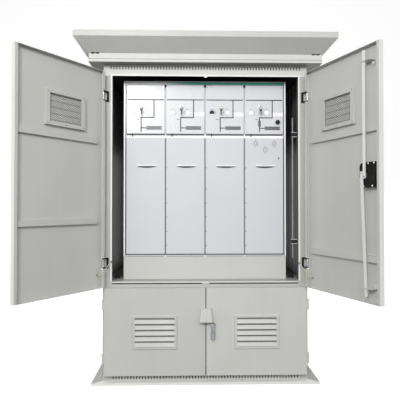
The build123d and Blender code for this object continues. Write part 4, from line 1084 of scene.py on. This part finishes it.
def keyRings(size):
    turn = Matrix.Rotation(math.radians(size["turn"]), 3, "Z")
    steel, back, face = dull["keySteel"], size["depth"] + size["plate"], size["depth"] - size["plate"]
    wire = circle(size["radius"], 0.0, size["wire"], size["wireSides"])
    height = size["keyHole"] - size["radius"] + size["wire"]
    low = height - size["radius"]
    foot = low - size["bowDrop"] - size["bow"] + size["overlap"]
    for number, centre in enumerate(moduleCentres, 1):
        x, body = centre + size["across"], "turning_key_" + str(number)
        middle = Vector((x, size["depth"], height))
        bm = bmesh.new()
        loftInto(bm, [
            [middle + turn @ Vector((math.cos(a) * reach, y, math.sin(a) * reach)) for reach, y in wire]
            for a in turnsOf(size["around"])
        ], looped=True)
        pieceFrom(bm, "keyRing" + str(number), steel, body, None, 0.0, True)
        bm = bmesh.new()
        bow = circle(x, low - size["bowDrop"], size["bow"], size["bowSides"])
        hole = circle(x, low - size["holeDrop"], size["hole"], size["bowSides"])
        frameInto(bm, bow, hole, back, face)
        shank = [(x + dx, foot + dz) for dx, dz in size["shank"]]
        prismInto(bm, shank, back, face)
        pieceFrom(bm, "spareKey" + str(number), steel, body, None, size["round"])
    print("kiosk: key rings")


keyRings(keyRing)


# lock barrels with their key slots, and pull rings, on the two lever handles
leverTrim = {
    "levers": [
        ("lowerLeverTrim", "lower_handle", "right_lower_leaf", (0.711, -0.006, 0.440), 0.0164),
        ("upperLeverTrim", "upper_handle", "right_upper_leaf", (0.633, 0.0, 1.517), 0.0224),
    ],
    "sunk": -0.0006, "proud": 0.0022,
    "barrel": 0.0088, "barrelSides": 28,
    "barrelShares": [(1, 0.6), (0.86, 1), (0.62, 1), (0.58, 0.35), (0, 0.35)],
    "ring": 0.0075, "ringSides": 24, "ringDrop": 0.092,
    "ringShares": [(1, 0.5), (0.9, 0.8), (0.65, 0.8), (0.55, 0.4)],
    "slot": ((-0.0004, -0.004, -0.0004), (0.0018, 0.004, 0.0003)), "slotShare": 0.37,
}


def leverProfile(part, size):
    radius, shares = size[part], size[part + "Shares"]
    sunk = [(radius * share, size["sunk"]) for share in (shares[-1][0], 1)]
    return sunk + [(radius * share, size["proud"] * rise) for share, rise in shares]


def leverDetail(size):
    up = Vector((0, 0, 1))
    for name, body, leaf, spindle, faceOut in size["levers"]:
        place = doorFrame(leaf)
        outward = -inwardOf(place)
        top = place @ Vector(spindle) + outward * faceOut
        face = outward.to_track_quat("Z", "Y").to_matrix().to_4x4()
        bm = bmesh.new()
        turnedInto(bm, leverProfile("barrel", size), size["barrelSides"], Matrix.Translation(top) @ face)
        low = Matrix.Translation(top - up * size["ringDrop"]) @ face
        turnedInto(bm, leverProfile("ring", size), size["ringSides"], low, looped=True)
        pieceFrom(bm, name, zinc, body)
        across = up.cross(outward).normalized()
        basis = Matrix((across, up, outward)).transposed().to_4x4()
        seat = Matrix.Translation(top + outward * size["proud"] * size["slotShare"])
        bm = bmesh.new()
        boxInto(bm, *size["slot"])
        pieceFrom(bm, name + "Slot", dark, body, seat @ basis)
    print("kiosk: lever trim")


leverDetail(leverTrim)


# side flange and screws of the rod lock, bolts of the rod guides
rodLock = {
    "flange": [
        (0.590, 1.506), (0.597, 1.497), (0.616, 1.497), (0.616, 1.592), (0.603, 1.592), (0.590, 1.577),
    ],
    "flangeDepth": (0.022, 0.028), "flangeRound": 0.0008,
    "caseFace": 0.030,
    "screws": ((0.628, 1.4465), (0.702, 1.4465), (0.668, 1.5875), (0.716, 1.5875)),
    "screw": (0.0046, 0.0022, 12, 0.0058),
    "panFace": 0.0, "bolts": ((0.6835, 2.208), (0.6972, 0.829)),
    "bolt": (0.0075, 0.0065, 6, 0.0112),
}


def lockFittings(size):
    leaf = "right_upper_leaf"
    bm = bmesh.new()
    prismInto(bm, size["flange"], *size["flangeDepth"])
    pieceFrom(bm, "lockFlange", hingeBlack, leaf, doorFrame(leaf), size["flangeRound"])
    fixingHeads("lockScrews", size["screws"], size["caseFace"], size["screw"], nickel, leaf)
    fixingHeads("guideBolts", size["bolts"], size["panFace"], size["bolt"], nickel, leaf)
    print("kiosk: rod lock fittings")


lockFittings(rodLock)


# nuts on the earth studs, at the ends of the leads
studNuts = {
    "postFace": -0.5042, "doorFace": -0.0040, "left": 0.052, "right": 0.059,
    "nut": (0.0065, 0.0055, 6, 0.0085),
}


def earthNuts(size):
    posts = [(x, z) for x, y, z in (earthLeads[side][0] for side in sides)]
    fixingHeads("frameStudNuts", posts, size["postFace"], size["nut"], brass, "cabinet")
    for side in sides:
        spots, leaf = [(size[side], earthLeads[side][-1][2])], side + "_upper_leaf"
        fixingHeads(side + "StudNut", spots, size["doorFace"], size["nut"], brass, leaf)
    print("kiosk: stud nuts")


earthNuts(studNuts)


# rubber grommets in the floor on both sides of the switchgear
grommets = {
    "places": ((-0.692, -0.300, 0.7555), (0.690, -0.300, 0.7555)), "radius": 0.024, "sides": 28,
    "profile": [
        (0, 0.0), (1, 0.0), (1.04, 0.003), (0.95, 0.007), (0.70, 0.009), (0.66, 0.020),
        (0.58, 0.023), (0.40, 0.023), (0.36, 0.012), (0, 0.012),
    ],
}


def floorGrommets(size):
    bm = bmesh.new()
    profile = scaled(size["profile"], size["radius"])
    for place in size["places"]:
        turnedInto(bm, profile, size["sides"], Matrix.Translation(place))
    pieceFrom(bm, "floorGrommets", dark, "cabinet", None, 0.0, True)
    print("kiosk: grommets")


floorGrommets(grommets)

# studio paper, soft light
studio = {
    "paper": (0.95, 0.95, 0.95), "width": 16.0, "frontY": -9.0, "backY": 4.5, "bend": 2.0, "height": 9.0,
    "bendSteps": 12, "glow": 0.36,
    "fibre": (3.0, 3.0), "fibreTone": (0.9, 0.9, 0.9), "fibreShare": 0.15,
    "rough": (0.8, 0.1), "dent": (0.02, 0.001),
    "reach": 20.0, "drop": -0.01, "surroundSides": 64, "surroundGlow": 0.80,
    "sky": 0.90, "ground": 0.14, "skyFade": (-0.25, 0.15),
    "lamps": [
        ("keyLamp", (-1.25, -5.2, 3.40), (-0.2, -0.4, 1.5), 0.8, 0.8, 115.0),
        ("softLamp", (0.5, -6.0, 3.8), (0.0, -0.4, 1.2), 3.0, 3.0, 100.0),
        ("sideLamp", (-3.4, -5.0, 2.4), (0.3, -0.6, 1.2), 2.6, 2.6, 30.0),
        ("leftWallLamp", (-0.660, 0.10, 1.30), (-0.765, 0.10, 1.30), 0.8, 1.0, 0.9),
        ("rightWallLamp", (0.660, 0.0, 1.30), (0.765, 0.0, 1.30), 0.6, 1.0, 0.7),
    ],
}


def paperFinish(name, size, glow):
    bench = Bench(name)
    fibre = bench.noise(*size["fibre"])
    colour = bench.blend(fibre * size["fibreShare"], size["paper"], size["fibreTone"], "MULTIPLY")
    return bench.coat(size, colour, fibre, fibre, Emission_Color=(1.0, 1.0, 1.0), Emission_Strength=glow)


def bentProfile(start, turnAt, low, size):
    profile = [(start, low), (turnAt, low)]
    bend, steps = size["bend"], size["bendSteps"]
    for k in range(1, steps + 1):
        a = math.radians(90 * k / steps)
        profile.append((turnAt + bend * math.sin(a), low + bend * (1 - math.cos(a))))
    return profile + [(turnAt + bend, size["height"])]


def stageFrom(bm, name, size, glow):
    mesh = bpy.data.meshes.new(name)
    bm.to_mesh(mesh)
    bm.free()
    mesh.shade_smooth()
    mesh.materials.append(paperFinish(name, size, glow))
    made = linkNew(name, mesh)
    made.visible_diffuse = False  # keeps it from lighting the undersides
    return made


def buildPaper(size):
    bm = bmesh.new()
    half = size["width"] / 2
    profile = bentProfile(size["frontY"], size["backY"], 0.0, size)
    edges = [[bm.verts.new((x, y, z)) for x in (-half, half)] for y, z in profile]
    for near, far in zip(edges, edges[1:]):
        bm.faces.new((near[0], near[1], far[1], far[0]))
    stageFrom(bm, "studioPaper", size, size["glow"])


# a pale round wall for the other views, which only the camera sees
def buildSurround(size):
    bm = bmesh.new()
    profile = bentProfile(0.0, size["reach"], size["drop"], size)
    turnedInto(bm, profile, size["surroundSides"], Matrix.Identity(4))
    surround = stageFrom(bm, "studioSurround", size, size["surroundGlow"])
    surround.visible_glossy = surround.visible_shadow = False


def buildSky(size):
    world = bpy.data.worlds.new("softSky")
    scene.world = world
    world.use_nodes = True
    sky = world.node_tree.nodes["Background"]
    sky.inputs[1].default_value = size["sky"]
    links, make = world.node_tree.links, world.node_tree.nodes.new
    looking, parts, ramp = [make("ShaderNode" + kind) for kind in ("TexCoord", "SeparateXYZ", "MapRange")]
    links.new(looking.outputs["Generated"], parts.inputs[0])
    links.new(parts.outputs[2], ramp.inputs["Value"])
    for socket, value in zip(("From Min", "From Max", "To Min"), (*size["skyFade"], size["ground"])):
        ramp.inputs[socket].default_value = value
    links.new(ramp.outputs[0], sky.inputs[0])


def hangLamps(size):
    for name, place, aim, wide, tall, power in size["lamps"]:
        lamp = bpy.data.lights.new(name, "AREA")
        lamp.shape = "RECTANGLE"
        lamp.size = wide
        lamp.size_y = tall
        lamp.energy = power
        holder = linkNew(name, lamp)
        holder.location = place
        holder.rotation_euler = (Vector(aim) - Vector(place)).to_track_quat("-Z", "Y").to_euler()


buildPaper(studio)
buildSurround(studio)
buildSky(studio)
hangLamps(studio)
scene.view_settings.view_transform = "Standard"
print("kiosk: studio")

bpy.context.view_layer.update()
